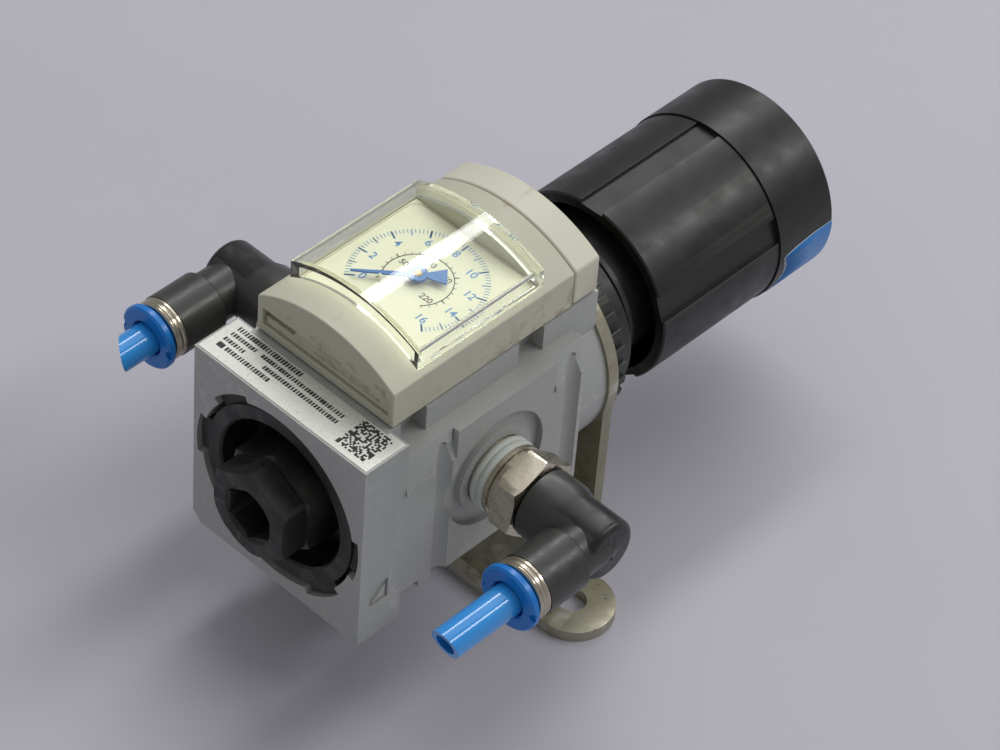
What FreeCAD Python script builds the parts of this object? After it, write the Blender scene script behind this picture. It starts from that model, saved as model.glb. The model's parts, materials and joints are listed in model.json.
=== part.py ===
import FreeCAD, Part
import os
import re
import Sketcher
from FreeCAD import Placement, Rotation, Vector

# Air pressure regulator lying on its angle bracket: a square die-cast body with
# a side gauge on top, a bonnet with a turning knob behind, a bayonet plug in
# front and a swivelling push-in elbow on each port.
# Row frame: the origin is on the wall face of the bracket, on its centre line
# at the height of the slots. +X runs through the ports, +Y from the plug to the
# knob, +Z from the bracket up through the gauge. Millimetres.
# Pieces on the main axis are drawn in the axis frame: y is counted from the
# front end face and z from the axis, and each Placement moves them into place.

SIZES = {
    # frame
    "axis_height": 36.3,
    "face_to_slots": 43.3,
    # clearances
    "running_gap": 0.05,
    "free_gap": 0.3,
    "seat_gap": 0.05,
    "fixed_gap": 0.1,
    "guide_gap": 0.2,
    "edge_bevel": 0.3,
    "past": 1.0,
    # cast body
    "body_half": 20.0,
    "block_rise": 0.5,
    "block_drop": 0.5,
    "block_deep": 9.8,
    "block_chamfer": 2.0,
    "label_edge": 0.4,
    "ledge_below": 5.2,
    "belly_in": 3.5,
    "neck_in": 5.2,
    "neck_short": 3.0,
    "band_edge": 0.2,
    "band_tall": 0.7,
    "body_long": 58.4,
    "collar_long": 8.4,
    "rail_deep": 3.0,
    "rail_front": 17.0,
    "rail_wall": 1.0,
    "rail_wide": 3.4,
    "hook_wide": 6.0,
    "hook_front": 11.8,
    "hook_back": 39.3,
    "hook_floor": 5.2,
    "hook_deep": 3.0,
    "port_along": 31.3,
    "ring_groove_wide": 2.9,
    "land_wide": 1.8,
    "port_ring_deep": 1.2,
    "port_deep": 8.5,
    "passage_radius": 2.0,
    "passage_in": 27.5,
    "passage_out": 36.2,
    "recess_wall": 2.1,
    "recess_deep": 4.2,
    "notch_tall": 1.3,
    "notch_deep": 2.6,
    "notch_turn": 28.0,
    "recess_step": 3.2,
    "well_end": 12.0,
    "chamber_radius": 9.2,
    "wall_front": 31.0,
    "seat_long": 3.0,
    "seat_radius": 6.5,
    "dome_deep": 4.0,
    "clamp_wide": 2.9,
    "flange_deep": 6.4,
    "collar_wall": 1.6,
    # plug
    "rim_gap": 0.9,
    "plug_front": 0.6,
    "rim_wide": 3.0,
    "plug_well_floor": 9.0,
    "boss_out": 6.5,
    "boss_flats": 16.2,
    "socket_flats": 9.3,
    "socket_deep": 9.5,
    "plug_sleeve_end": 18.0,
    "plug_web": 0.5,
    "plug_seal_wire": 0.7,
    "seal_groove_at": 1.8,
    "seal_groove_wide": 1.5,
    "seal_groove_deep": 1.6,
    "plug_pocket": 6.0,
    # valve
    "seat_bore": 4.0,
    "poppet_radius": 6.2,
    "poppet_thick": 1.8,
    "poppet_seal_thick": 0.6,
    "stem_radius": 1.5,
    "tail_radius": 2.2,
    "tail_long": 5.0,
    "valve_coil": 3.6,
    "valve_wire": 0.4,
    "valve_turns": 6.0,
    # diaphragm and bonnet
    "diaphragm_thick": 0.8,
    "hub_bore": 3.0,
    "plate_gap": 1.6,
    "plate_thick": 2.0,
    "plate_hub_tall": 2.0,
    "spring_side_gap": 0.4,
    "neck_radius": 15.0,
    "neck_long": 12.6,
    "neck_step": 1.8,
    "sleeve_long": 39.6,
    "sleeve_wall": 2.0,
    "mouth_step": 1.4,
    "bonnet_top": 2.1,
    "rib_half": 1.0,
    "rib_tall": 1.2,
    "rib_root": 0.5,
    "plate_back_off": 6.0,
    "spring_plate_thick": 4.0,
    "main_gap": 2.2,
    "main_wire": 1.2,
    "main_turns": 6.0,
    # spindle and knob
    "screw_radius": 4.0,
    "screw_reach": 11.0,
    "spindle_collar": 7.0,
    "spindle_collar_thick": 1.9,
    "journal_radius": 4.9,
    "journal_over": 0.5,
    "drive_flats": 8.0,
    "drive_long": 12.0,
    "drive_gap": 0.1,
    "drive_end_gap": 0.5,
    "knob_over": 3.5,
    "knob_flare": 0.3,
    "band_lip": 0.1,
    "lip_long": 0.2,
    "knob_gap": 3.5,
    "knob_band": 14.5,
    "knob_long": 44.6,
    "knob_wall": 2.1,
    "knob_room": 2.0,
    "knob_hub": 7.5,
    "hub_gap": 3.0,
    "flutes": 5,
    "flute_first": 20.0,
    "flute_half": 2.5,
    "flute_deep": 0.8,
    "cap_edge": 3.4,
    "cap_thick": 2.0,
    "label_thick": 0.12,
    "label_turn": 78.0,
    "label_first": 4.0,
    "label_near_edge": 0.6,
    "label_far_edge": 0.7,
    # lock nut and bracket
    "bracket_thick": 2.3,
    "ring_wide": 5.6,
    "ring_edge": 0.8,
    "base_edge": 2.2,
    "ear_half": 37.4,
    "ear_front": 36.0,
    "ear_wide": 14.6,
    "slot_half": 2.6,
    "slot_inner": 25.0,
    "slot_outer": 32.2,
    "nut_edge": 1.2,
    "nut_slope": 2.0,
    "nut_thick": 7.0,
    "nut_rib_thick": 3.4,
    "nut_bevel": 0.6,
    "nut_draft": 0.4,
    "nut_rib_deep": 0.7,
    "nut_rib_half": 0.8,
    "nut_ribs": 36,
    # gauge
    "gauge_half": 15.8,
    "gauge_gap": 0.3,
    "gauge_front": 10.0,
    "cover_long": 6.1,
    "seam_gap": 0.2,
    "gauge_back_step": 0.1,
    "arch_radius": 28.2,
    "gauge_tall": 12.2,
    "window_edge": 1.9,
    "window_before": 7.0,
    "window_behind": 7.4,
    "ledge_wide": 0.9,
    "dial_below": 4.8,
    "dial_thick": 0.6,
    "dial_gap": 0.1,
    "clip_edge": 1.3,
    "clip_above": 1.6,
    "clip_tall": 3.6,
    "clip_deep": 1.6,
    "clip_gap": 0.25,
    "clip_step": 0.8,
    "clip_thick": 1.0,
    "lens_edge": 0.8,
    "lens_lap": 0.7,
    "lens_over": 3.1,
    "lens_round": 4.4,
    "lens_wall": 1.4,
    "pointer_gap": 0.9,
    "pointer_thick": 0.3,
    "pointer_short": 2.9,
    "pointer_tail": 4.8,
    "pointer_half": 0.45,
    "pointer_wedge": 1.7,
    "pointer_hub": 1.7,
    "pointer_hub_over": 0.3,
    "pointer_zero": 222.0,
    "arbor_radius": 0.6,
    "pinion_radius": 1.2,
    "pinion_above": 4.1,
    "pinion_thick": 1.4,
    "sector_short": 1.2,
    "mesh_gap": 0.1,
    "sector_thick": 0.8,
    "sector_boss": 1.3,
    "sector_boss_tall": 3.6,
    "sector_angle": 64.0,
    "sector_lead": 8.0,
    "base_plate_thick": 1.2,
    "movement_gap": 0.8,
    "movement_thick": 0.8,
    "works_gap": 2.4,
    "bourdon_half": 0.6,
    "bourdon_tall": 3.6,
    "bourdon_turn": 250.0,
    "bourdon_first": 110.0,
    "works_side_gap": 0.4,
    "feed_radius": 1.2,
    "stem_hole": 4.2,
    "stem_short": 1.1,
    "stem_deep": 5.5,
    "gauge_seal_coil": 5.2,
    "gauge_seal_wire": 0.7,
    "gauge_seal_room": 1.1,
    "pin_radius": 0.35,
    "pin_short": 4.8,
    "pin_after": 9.0,
    "pin_over": 0.7,
    # push-in elbow fittings, counted outward from the port face
    "hex_flats": 14.0,
    "hex_in": 5.6,
    "hex_out": 10.3,
    "hex_root": 0.5,
    "hex_turn": 20.0,
    "thread_radius": 6.5,
    "collar_radius": 6.2,
    "swivel_radius": 4.0,
    "swivel_end": 16.4,
    "swivel_groove_near": 1.2,
    "swivel_groove_far": 2.4,
    "swivel_groove_deep": 1.0,
    "swivel_seal_wire": 0.48,
    "flow_radius": 2.1,
    "coat_out": 4.4,
    "coat_in": 0.4,
    "coat_thick": 0.4,
    "coat_groove": 0.25,
    "coat_step": 1.7,
    "coat_vee": 0.3,
    "elbow_at": 21.8,
    "barrel_wall": 2.5,
    "barrel_end": 15.6,
    "cone_end": 17.8,
    "elbow_radius": 4.9,
    "outlet_start": 6.0,
    "outlet_wall": 1.2,
    "outlet_end": 15.2,
    "collar_ring_end": 17.5,
    "collar_groove": 0.25,
    "collar_groove_at": 0.7,
    "collar_groove_half": 0.23,
    "collar_lip": 0.15,
    "collet_room": 1.6,
    "collet_start": 7.6,
    "tube_radius": 3.0,
    "tube_wall": 1.0,
    "tube_stop": 6.6,
    "tube_fit": 0.05,
    "tube_seal_long": 1.6,
    "grip_start": 10.0,
    "grip_thick": 0.6,
    "release_start": 11.6,
    "release_flange_start": 18.4,
    "release_end": 19.8,
    "release_bevel": 0.4,
    "sleeve_gap": 0.4,
    "tube_reach_right": 34.8,
    "tube_reach_left": 27.7,
    "outlet_more_right": 0.0,
    "outlet_more_left": 2.4,
    "post_radius": 5.8,
    "post_end": 26.2,
    "post_round": 1.4,
    "flange_over": 0.45,
    "tube_slant_right": 15.0,
    "tube_slant_left": 42.0,
    "tube_roll_right": -90.0,
    "tube_roll_left": 21.7,
    "slant_block": 8.0,
}

# Sizes and places that follow from the ones above.
DERIVED = {
    "band_up": "body_half + band_tall",
    "block_up": "body_half + block_rise",
    "block_down": "body_half + block_drop",
    "belly_down": "body_half - belly_in",
    "neck_down": "body_half - neck_in",
    "ledge_up": "band_up - ledge_below",
    "hook_low": "band_up - hook_floor",
    "arch_up": "gauge_low + gauge_tall",
    "clip_low": "gauge_low + clip_above",
    "clip_high": "clip_low + clip_tall",
    "stem_low": "band_up - stem_deep",
    "pinion_low": "base_plate_low + pinion_above",
    "flange_start": "body_long - flange_deep",
    "dome_start": "flange_start - dome_deep",
    "collar_start": "body_long - collar_long",
    "rail_back": "flange_start - rail_wide - rail_wall",
    "rail_low": "body_half - rail_deep",
    "flange_radius": "body_half - collar_wall",
    "dome_radius": "flange_radius - clamp_wide",
    "recess_radius": "body_half - recess_wall",
    "notch_radius": "recess_radius + notch_tall",
    "plug_rim": "recess_radius - rim_gap",
    "well_bore": "recess_radius - recess_step",
    "plug_well": "plug_rim - rim_wide",
    "wall_back": "wall_front + seat_long",
    "gauge_back": "body_long - gauge_back_step",
    "gauge_seam": "gauge_back - cover_long",
    "band_half": "gauge_half + band_edge",
    "clip_half": "gauge_half - clip_edge",
    "window_half": "gauge_half - window_edge",
    "window_front": "gauge_front + window_before",
    "window_back": "gauge_seam - window_behind",
    "lens_half": "window_half + lens_edge",
    "lens_front": "window_front - lens_lap",
    "lens_back": "window_back + lens_lap",
    "dial_centre": "(window_front + window_back) / 2",
    "dial_up": "arch_up - dial_below",
    "pointer_up": "dial_up + dial_thick + pointer_gap",
    "pin_high": "pointer_up + pin_over",
    "lens_up": "arch_up + lens_over",
    "lens_radius": "arch_radius + lens_round",
    "gauge_low": "band_up + gauge_gap",
    "base_plate_low": "gauge_low + fixed_gap",
    "dial_half": "min(window_half; (window_back - window_front) / 2)",
    "bourdon_radius": "dial_half - ledge_wide - works_gap",
    "movement_radius": "bourdon_radius - bourdon_half - movement_gap",
    "sector_radius": "movement_radius - pinion_radius - mesh_gap - sector_short",
    "stem_along": "dial_centre + movement_radius - stem_short",
    "pointer_reach": "dial_half - pointer_short",
    "pin_reach": "pointer_reach - pin_short",
    "neck_end": "body_long + neck_long",
    "sleeve_end": "body_long + sleeve_long",
    "sleeve_radius": "neck_radius - neck_step",
    "bonnet_bore": "sleeve_radius - sleeve_wall",
    "bonnet_mouth": "bonnet_bore + mouth_step",
    "plate_radius": "bonnet_mouth - plate_gap",
    "main_coil": "bonnet_bore - main_wire - main_gap",
    "collar_under": "sleeve_end - bonnet_top - spindle_collar_thick",
    "spring_plate_at": "collar_under - plate_back_off - spring_plate_thick",
    "screw_start": "spring_plate_at - screw_reach",
    "drive_end": "sleeve_end + drive_long",
    "knob_radius": "neck_radius + knob_over",
    "knob_cap_radius": "knob_radius + knob_flare",
    "knob_bore": "knob_radius - knob_wall",
    "knob_near": "neck_end + knob_gap",
    "knob_far": "knob_near + knob_long",
    "knob_step": "knob_far - knob_band",
    "knob_floor": "drive_end + knob_room",
    "knob_hub_start": "sleeve_end + hub_gap",
    "cap_radius": "knob_cap_radius - cap_edge",
    "label_start": "knob_step + label_near_edge",
    "label_end": "knob_far - label_far_edge",
    "bracket_ring": "neck_radius + ring_wide",
    "bracket_half": "bracket_ring - ring_edge",
    "nut_radius": "bracket_ring - nut_edge",
    "nut_nose": "nut_radius - nut_slope",
    "port_radius": "thread_radius + fixed_gap",
    "port_land": "port_radius + land_wide",
    "port_ring": "port_land + ring_groove_wide",
    "tube_bore": "tube_radius - tube_wall",
    "collet_bore": "tube_radius + collet_room",
    "release_sleeve": "collet_bore - sleeve_gap",
    "outlet_radius": "collet_bore + outlet_wall",
    "collar_ring_radius": "outlet_radius - collar_lip",
    "release_flange": "collar_ring_radius + flange_over",
    "barrel_radius": "swivel_radius + barrel_wall",
    "base_front": "ear_front - base_edge",
    "ear_back": "ear_front + ear_wide",
    "ear_round": "ear_wide / 2",
    "ear_along": "ear_front + ear_round",
    "plug_inner": "well_end + plug_web",
    "plug_guide": "well_bore - guide_gap",
    "plug_sleeve": "chamber_radius - fixed_gap",
    "seal_groove_near": "well_end + seal_groove_at",
    "seal_groove_back": "seal_groove_near + seal_groove_wide",
    "poppet_face": "wall_front - seat_gap - poppet_seal_thick",
    "poppet_back": "poppet_face - poppet_thick",
    "pressure_face": "flange_start + diaphragm_thick",
    "plate_hub": "main_coil - main_wire - spring_side_gap",
    "nut_back": "body_long + bracket_thick + fixed_gap",
    "base_top": "base_plate_low + base_plate_thick",
    "sector_pivot": "dial_centre + sector_radius + pinion_radius + mesh_gap",
}

doc = FreeCAD.newDocument("regulator")
sheet = doc.addObject("Spreadsheet::Sheet", "Sizes")
for row, (alias, value) in enumerate(SIZES.items(), start=1):
    sheet.set("A%d" % row, alias)
    sheet.set("B%d" % row, str(value))
    sheet.setAlias("B%d" % row, alias)
doc.recompute()


# ---- small helpers: formulas, sketches, primitives, booleans -----------------

def cell(formula):
    """Write each size name in a formula as a reference to its spreadsheet cell."""
    def spell(word):
        if word[0] in DERIVED:
            return "(" + cell(DERIVED[word[0]]) + ")"
        return "Sizes." + word[0] if word[0] in SIZES else word[0]
    return re.sub(r"[a-z_]+", spell, formula)


def number(formula):
    """The present value of a formula."""
    return float(sheet.evalExpression(cell(formula)))


def bind(item, prop, formula):
    """Tie a property to the sheet."""
    item.setExpression(prop, cell(formula))


def sketch_on(body, name, role):
    """A sketch on one of its own body's origin planes."""
    sketch = body.newObject("Sketcher::SketchObject", name)
    plane = [feature for feature in body.Origin.OriginFeatures if feature.Role == role][0]
    sketch.AttachmentSupport = [(plane, "")]
    sketch.MapMode = "FlatFace"
    return sketch


def polygon(sketch, corners):
    """A closed outline; each corner is a pair of formulas, held by two distances."""
    first = sketch.GeometryCount
    points = [Vector(number(across), number(along), 0) for across, along in corners]
    for start, end in zip(points, points[1:] + points[:1]):
        sketch.addGeometry(Part.LineSegment(start, end), False)
    for index in range(len(points)):
        following = first + (index + 1) % len(points)
        sketch.addConstraint(Sketcher.Constraint("Coincident", first + index, 2, following, 1))
    for index, (across, along) in enumerate(corners):
        for kind, formula in (("DistanceX", across), ("DistanceY", along)):
            held = Sketcher.Constraint(kind, -1, 1, first + index, 1, number(formula))
            sketch.setExpression("Constraints[%d]" % sketch.addConstraint(held), cell(formula))


def turned(label, outline, sweep="360"):
    """A piece turned about its own Y axis from a (radius, along) outline."""
    body = doc.addObject("PartDesign::Body", label)
    sketch = sketch_on(body, label + "_outline", "XY_Plane")
    polygon(sketch, outline)
    turn = body.newObject("PartDesign::Revolution", label + "_turn")
    turn.Profile = sketch
    turn.ReferenceAxis = (sketch, ["V_Axis"])
    bind(turn, "Angle", sweep)
    return body


def padded(label, outline, low, high):
    """A plate standing along its own Z axis between two heights."""
    body = doc.addObject("PartDesign::Body", label)
    sketch = sketch_on(body, label + "_outline", "XY_Plane")
    bind(sketch, "AttachmentOffset.Base.z", low)
    polygon(sketch, outline)
    pad = body.newObject("PartDesign::Pad", label + "_pad")
    pad.Profile = sketch
    bind(pad, "Length", "(%s) - (%s)" % (high, low))
    return body


def hexagon(flats):
    """Corners of a hexagon with two corners on the first axis, from its width over flats."""
    reach = "(%s) / sqrt(3)" % flats
    half = "(%s) / 2" % flats
    return [(reach, "0"), (reach + " / 2", half), ("-" + reach + " / 2", half),
            ("-" + reach, "0"), ("-" + reach + " / 2", "-" + half), (reach + " / 2", "-" + half)]


def box(name, across, along, height):
    """A block between two formulas on each axis."""
    solid = doc.addObject("Part::Box", name)
    for prop, axis, (low, high) in zip(("Length", "Width", "Height"), "xyz", (across, along, height)):
        bind(solid, prop, "(%s) - (%s)" % (high, low))
        bind(solid, "Placement.Base." + axis, low)
    return solid


ALONG_X = Rotation(Vector(0, 1, 0), 90)
ALONG_Y = Rotation(Vector(1, 0, 0), -90)
ALONG_Z = Rotation()
POINT_UP = Rotation(Vector(0, 0, 1), 30)


def rod(name, radius, start, length, turn):
    """A cylinder of a given length from a start point, along a row axis."""
    solid = doc.addObject("Part::Cylinder", name)
    solid.Placement = Placement(Vector(), turn)
    bind(solid, "Radius", radius)
    bind(solid, "Height", length)
    for axis, formula in zip("xyz", start):
        bind(solid, "Placement.Base." + axis, formula)
    return solid


def ring(name, coil, wire, start, turn):
    """A round ring of round section, such as an O-ring."""
    solid = doc.addObject("Part::Torus", name)
    solid.Placement = Placement(Vector(), turn)
    bind(solid, "Radius1", coil)
    bind(solid, "Radius2", wire)
    for axis, formula in zip("xyz", start):
        bind(solid, "Placement.Base." + axis, formula)
    return solid


def fuse(name, solids):
    joined = doc.addObject("Part::MultiFuse", name)
    joined.Shapes = solids
    joined.Refine = True
    return joined


def common(name, solids):
    shared = doc.addObject("Part::MultiCommon", name)
    shared.Shapes = solids
    return shared


def grouped(name, solid):
    """Wrap a finished solid, so that it can be moved without losing its own place."""
    holder = doc.addObject("Part::Compound", name)
    holder.Links = [solid]
    return holder


def cut(name, base, tools):
    left = doc.addObject("Part::Cut", name)
    left.Base = base
    left.Tool = tools[0] if len(tools) == 1 else fuse(name + "_tools", tools)
    return left


NODES = []


def place(item, label, turn=ALONG_Z, offset=("0", "0", "0")):
    """Name a finished sub-part and move it from the axis frame to the row frame."""
    item.Label = label
    item.Placement = Placement(Vector(), turn)
    bind(item, "Placement.Base.x", offset[0])
    bind(item, "Placement.Base.y", "(%s) - face_to_slots" % offset[1])
    bind(item, "Placement.Base.z", "(%s) + axis_height" % offset[2])
    NODES.append(item)


# ---- cast body ----------------------------------------------------------------

NOTCH_CENTRES = (-4, 128, 176, 308)


def casting_bores():
    """Rods that bore the casting along its axis, and the four bayonet notches."""
    bores = [("recess", "recess_radius", "-past", "recess_deep"),
             ("well", "well_bore", "0", "well_end"),
             ("valve_chamber", "chamber_radius", "past", "wall_front"),
             ("seat_hole", "seat_radius", "wall_front - past", "wall_back + past"),
             ("outlet_chamber", "chamber_radius", "wall_back", "dome_start + past"),
             ("dome", "dome_radius", "dome_start", "flange_start + past"),
             ("flange_bore", "flange_radius", "flange_start", "body_long + past")]
    tools = []
    for name, radius, start, end in bores:
        tools.append(rod(name, radius, ("0", start, "0"), "(%s) - (%s)" % (end, start), ALONG_Y))
    for centre in NOTCH_CENTRES:
        wedge = rod("notch_%d" % (centre % 360), "notch_radius", ("0", "-past", "0"), "notch_deep + past",
                    ALONG_Y)
        first = -centre - number("notch_turn") / 2
        wedge.Placement.Rotation = Rotation(Vector(0, 1, 0), first).multiply(ALONG_Y)
        bind(wedge, "Angle", "notch_turn")
        tools.append(wedge)
    return tools


def casting_side(side, sign, turn):
    """Cuts on one flank: two rail grooves, two hook pockets, the port and its ring groove."""
    def across(inner, outer):
        return (inner, outer) if side == "right" else ("-(%s)" % outer, "-(%s)" % inner)

    tools = []
    for end in ("front", "back"):
        rail = "rail_" + end
        tools.append(box("%s_%s" % (rail, side), across("rail_low", "body_half + past"),
                         (rail, rail + " + rail_wide"), ("-belly_down - past", "ledge_up + past")))
        hook = "hook_" + end
        tools.append(box("%s_%s" % (hook, side), across("band_half - hook_deep", "body_half + past"),
                         (hook, hook + " + hook_wide"), ("hook_low", "band_up + past")))
    inner = "body_half - port_ring_deep"
    outside = rod("port_ring_out_" + side, "port_ring", (sign + "(%s)" % inner, "port_along", "0"),
                  "port_ring_deep + past", turn)
    land = rod("port_ring_in_" + side, "port_land", (sign + "(%s - past)" % inner, "port_along", "0"),
               "port_ring_deep + 3 * past", turn)
    tools.append(cut("port_ring_" + side, outside, [land]))
    tools.append(rod("port_bore_" + side, "port_radius",
                     (sign + "(body_half - port_deep)", "port_along", "0"),
                     "port_deep + past", turn))
    passage = "passage_in" if side == "left" else "passage_out"
    tools.append(rod("passage_" + side, "passage_radius",
                     (sign + "(chamber_radius - 2 * past)", passage, "0"),
                     "body_half - port_deep - chamber_radius + 3 * past", turn))
    return tools


def body_casting():
    """Square front block, ported middle and round rear collar, bored along the axis."""
    block = box("front_block", ("-body_half", "body_half"), ("0", "block_deep"),
                ("-block_down", "block_up"))
    middle = box("middle", ("-body_half", "body_half"), ("block_deep", "flange_start"),
                 ("-belly_down", "ledge_up"))
    band = box("gauge_band", ("-band_half", "band_half"), ("block_deep", "body_long"), ("0", "band_up"))
    collar = rod("rear_collar", "body_half", ("0", "collar_start", "0"), "body_long - collar_start",
                 ALONG_Y)
    solid = fuse("casting_solid", [block, middle, band, collar])
    corner = box("corner_cut", ("-block_chamfer", "block_chamfer"), ("-past", "block_deep + past"),
                 ("-block_chamfer", "block_chamfer"))
    corner.Placement.Rotation = Rotation(Vector(0, 1, 0), 45)
    bind(corner, "Placement.Base.x", "-body_half - block_chamfer * sqrt(2)")
    bind(corner, "Placement.Base.z", "-block_down")
    neck = box("neck_step", ("-body_half - past", "body_half + past"),
               ("block_deep", "rail_front - neck_short"),
               ("-belly_down - past", "-neck_down"))
    tools = [corner, neck] + casting_bores()
    tools += casting_side("left", "-", Rotation(Vector(0, 1, 0), -90))
    tools += casting_side("right", "", ALONG_X)
    tools.append(rod("gauge_passage", "passage_radius", ("0", "stem_along", "0"), "band_up", ALONG_Z))
    tools.append(rod("gauge_hole", "stem_hole", ("0", "stem_along", "stem_low - guide_gap"), "band_up",
                     ALONG_Z))
    tools.append(rod("gauge_seal_seat", "gauge_seal_coil + gauge_seal_wire + fixed_gap",
                     ("0", "stem_along", "band_up - gauge_seal_room"), "gauge_seal_room + past", ALONG_Z))
    place(cut("casting", solid, tools), "body_casting")


def rating_label():
    """Printed film on top of the front block."""
    plate = box("label_plate", ("label_edge - body_half", "body_half - label_edge"),
                ("label_edge", "block_deep - label_edge"), ("block_up", "block_up + label_thick"))
    place(grouped("label_group", plate), "rating_label")


# ---- plug and valve -------------------------------------------------------------

def valve_plug():
    """Bayonet plug: rim, deep ring-shaped well, hex boss with a hex socket, inner sleeve."""
    groove_floor = "chamber_radius - seal_groove_deep"
    shell = turned("plug_shell", [
        ("0", "plug_well_floor"), ("plug_well", "plug_well_floor"), ("plug_well", "plug_front"),
        ("plug_rim", "plug_front"), ("plug_rim", "recess_deep - seat_gap"),
        ("plug_guide", "recess_deep - seat_gap"), ("plug_guide", "well_end - seat_gap"),
        ("plug_sleeve", "well_end - seat_gap"), ("plug_sleeve", "seal_groove_near"),
        (groove_floor, "seal_groove_near"), (groove_floor, "seal_groove_back"),
        ("plug_sleeve", "seal_groove_back"), ("plug_sleeve", "plug_sleeve_end"),
        ("plug_pocket", "plug_sleeve_end"), ("plug_pocket", "plug_inner"), ("0", "plug_inner")])
    boss = padded("plug_boss", hexagon("boss_flats"), "-boss_out", "plug_well_floor + past")
    socket = padded("plug_socket", hexagon("socket_flats"), "-boss_out - past", "socket_deep - boss_out")
    for item in (boss, socket):
        item.Placement.Rotation = ALONG_Y.multiply(POINT_UP)
    place(cut("plug", fuse("plug_solid", [shell, boss]), [socket]), "valve_plug")


def valve_pieces():
    """Seal on the plug, and the seat, poppet and seal disc of the valve."""
    seal_coil = "plug_sleeve - seat_gap - plug_seal_wire"
    place(ring("plug_ring", seal_coil, "plug_seal_wire", ("0", "0", "0"), ALONG_Y), "plug_seal",
          ALONG_Y, ("0", "(seal_groove_near + seal_groove_back) / 2", "0"))
    place(turned("seat", [("seat_bore", "wall_front"), ("seat_radius", "wall_front"),
                          ("seat_radius", "wall_back"), ("seat_bore", "wall_back")]), "valve_seat")
    stem_end = "pressure_face - seat_gap"
    place(turned("poppet", [
        ("0", "poppet_back - tail_long"), ("tail_radius", "poppet_back - tail_long"),
        ("tail_radius", "poppet_back"), ("poppet_radius", "poppet_back"), ("poppet_radius", "poppet_face"),
        ("stem_radius", "poppet_face"), ("stem_radius", stem_end), ("0", stem_end)]), "valve_poppet")
    seal_face = "poppet_face + poppet_seal_thick"
    place(turned("poppet_ring", [
        ("stem_radius", "poppet_face"), ("poppet_radius", "poppet_face"),
        ("poppet_radius", seal_face), ("stem_radius", seal_face)]), "poppet_seal")


def coil_spring(label, coil, wire, turns, start, end):
    """A round-wire spring on the main axis between two faces."""
    helix = doc.addObject("Part::Helix", label + "_helix")
    bind(helix, "Radius", coil)
    bind(helix, "Height", "(%s) - (%s) - 2 * %s" % (end, start, wire))
    bind(helix, "Pitch", "((%s) - (%s) - 2 * %s) / %s" % (end, start, wire, turns))
    section = doc.addObject("Part::Circle", label + "_section")
    section.Placement = Placement(Vector(), Rotation(Vector(1, 0, 0), 90))
    bind(section, "Radius", wire)
    bind(section, "Placement.Base.x", coil)
    spring = doc.addObject("Part::Sweep", label + "_sweep")
    spring.Sections = [section]
    spring.Spine = (helix, [])
    spring.Solid = True
    spring.Frenet = True
    place(spring, label, ALONG_Y, ("0", "(%s) + %s" % (start, wire), "0"))


# ---- diaphragm, bonnet, adjusting screw and knob ------------------------------

def diaphragm_pieces():
    """Rubber membrane clamped by the bonnet, and the plate that the main spring presses."""
    place(turned("membrane", [
        ("hub_bore", "flange_start"), ("flange_radius - fixed_gap", "flange_start"),
        ("flange_radius - fixed_gap", "pressure_face"), ("hub_bore", "pressure_face")]), "diaphragm")
    back = "pressure_face + plate_thick"
    place(turned("plate", [
        ("0", "pressure_face"), ("plate_radius", "pressure_face"), ("plate_radius", back),
                           ("plate_hub", back),
        ("plate_hub", back + " + plate_hub_tall"), ("0", back + " + plate_hub_tall")]), "diaphragm_plate")


def bonnet():
    """Flange in the body collar, threaded neck, long sleeve with two inner guide ribs."""
    ceiling = "sleeve_end - bonnet_top"
    shell = turned("bonnet_shell", [
        ("bonnet_mouth", "pressure_face"), ("flange_radius - fixed_gap", "pressure_face"),
        ("flange_radius - fixed_gap", "body_long"), ("neck_radius", "body_long"),
                                    ("neck_radius", "neck_end"),
        ("sleeve_radius", "neck_end"), ("sleeve_radius", "sleeve_end"),
        ("journal_radius + running_gap", "sleeve_end"), ("journal_radius + running_gap", ceiling),
        ("bonnet_bore", ceiling), ("bonnet_bore", "body_long"), ("bonnet_mouth", "body_long")])
    reach = {"left": ("-bonnet_bore - rib_root", "rib_tall - bonnet_bore"),
             "right": ("bonnet_bore - rib_tall", "bonnet_bore + rib_root")}
    ribs = [box("rib_" + side, reach[side], ("neck_end", ceiling),
                ("-rib_half", "rib_half")) for side in reach]
    place(fuse("bonnet_solid", [shell] + ribs), "bonnet")


def spring_plate():
    """Nut plate that the screw drives along the sleeve; two notches ride on the ribs."""
    near = "spring_plate_at"
    far = "spring_plate_at + spring_plate_thick"
    disc = turned("nut_disc", [
        ("screw_radius + running_gap", near), ("bonnet_bore - free_gap", near),
        ("bonnet_bore - free_gap", far), ("screw_radius + running_gap", far)])
    floor = "bonnet_bore - rib_tall - free_gap"
    reach = {"left": ("-bonnet_bore - past", "-(%s)" % floor), "right": (floor, "bonnet_bore + past")}
    notches = [box("nut_notch_" + side, reach[side], (near + " - past", far + " + past"),
                   ("-rib_half - free_gap", "rib_half + free_gap")) for side in reach]
    place(cut("nut_plate", disc, notches), "spring_plate")


def spindle():
    """Adjusting screw: thread, thrust collar under the bonnet top, journal, hex drive."""
    near = "collar_under - seat_gap"
    far = "sleeve_end - bonnet_top - seat_gap"
    end = "sleeve_end + journal_over"
    shaft = turned("screw", [
        ("0", "screw_start"), ("screw_radius", "screw_start"), ("screw_radius", near),
                             ("spindle_collar", near),
        ("spindle_collar", far), ("journal_radius", far), ("journal_radius", end), ("0", end)])
    drive = padded("drive", hexagon("drive_flats"), "sleeve_end", "drive_end")
    drive.Placement.Rotation = ALONG_Y
    place(fuse("spindle_solid", [shaft, drive]), "adjusting_spindle")


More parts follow.
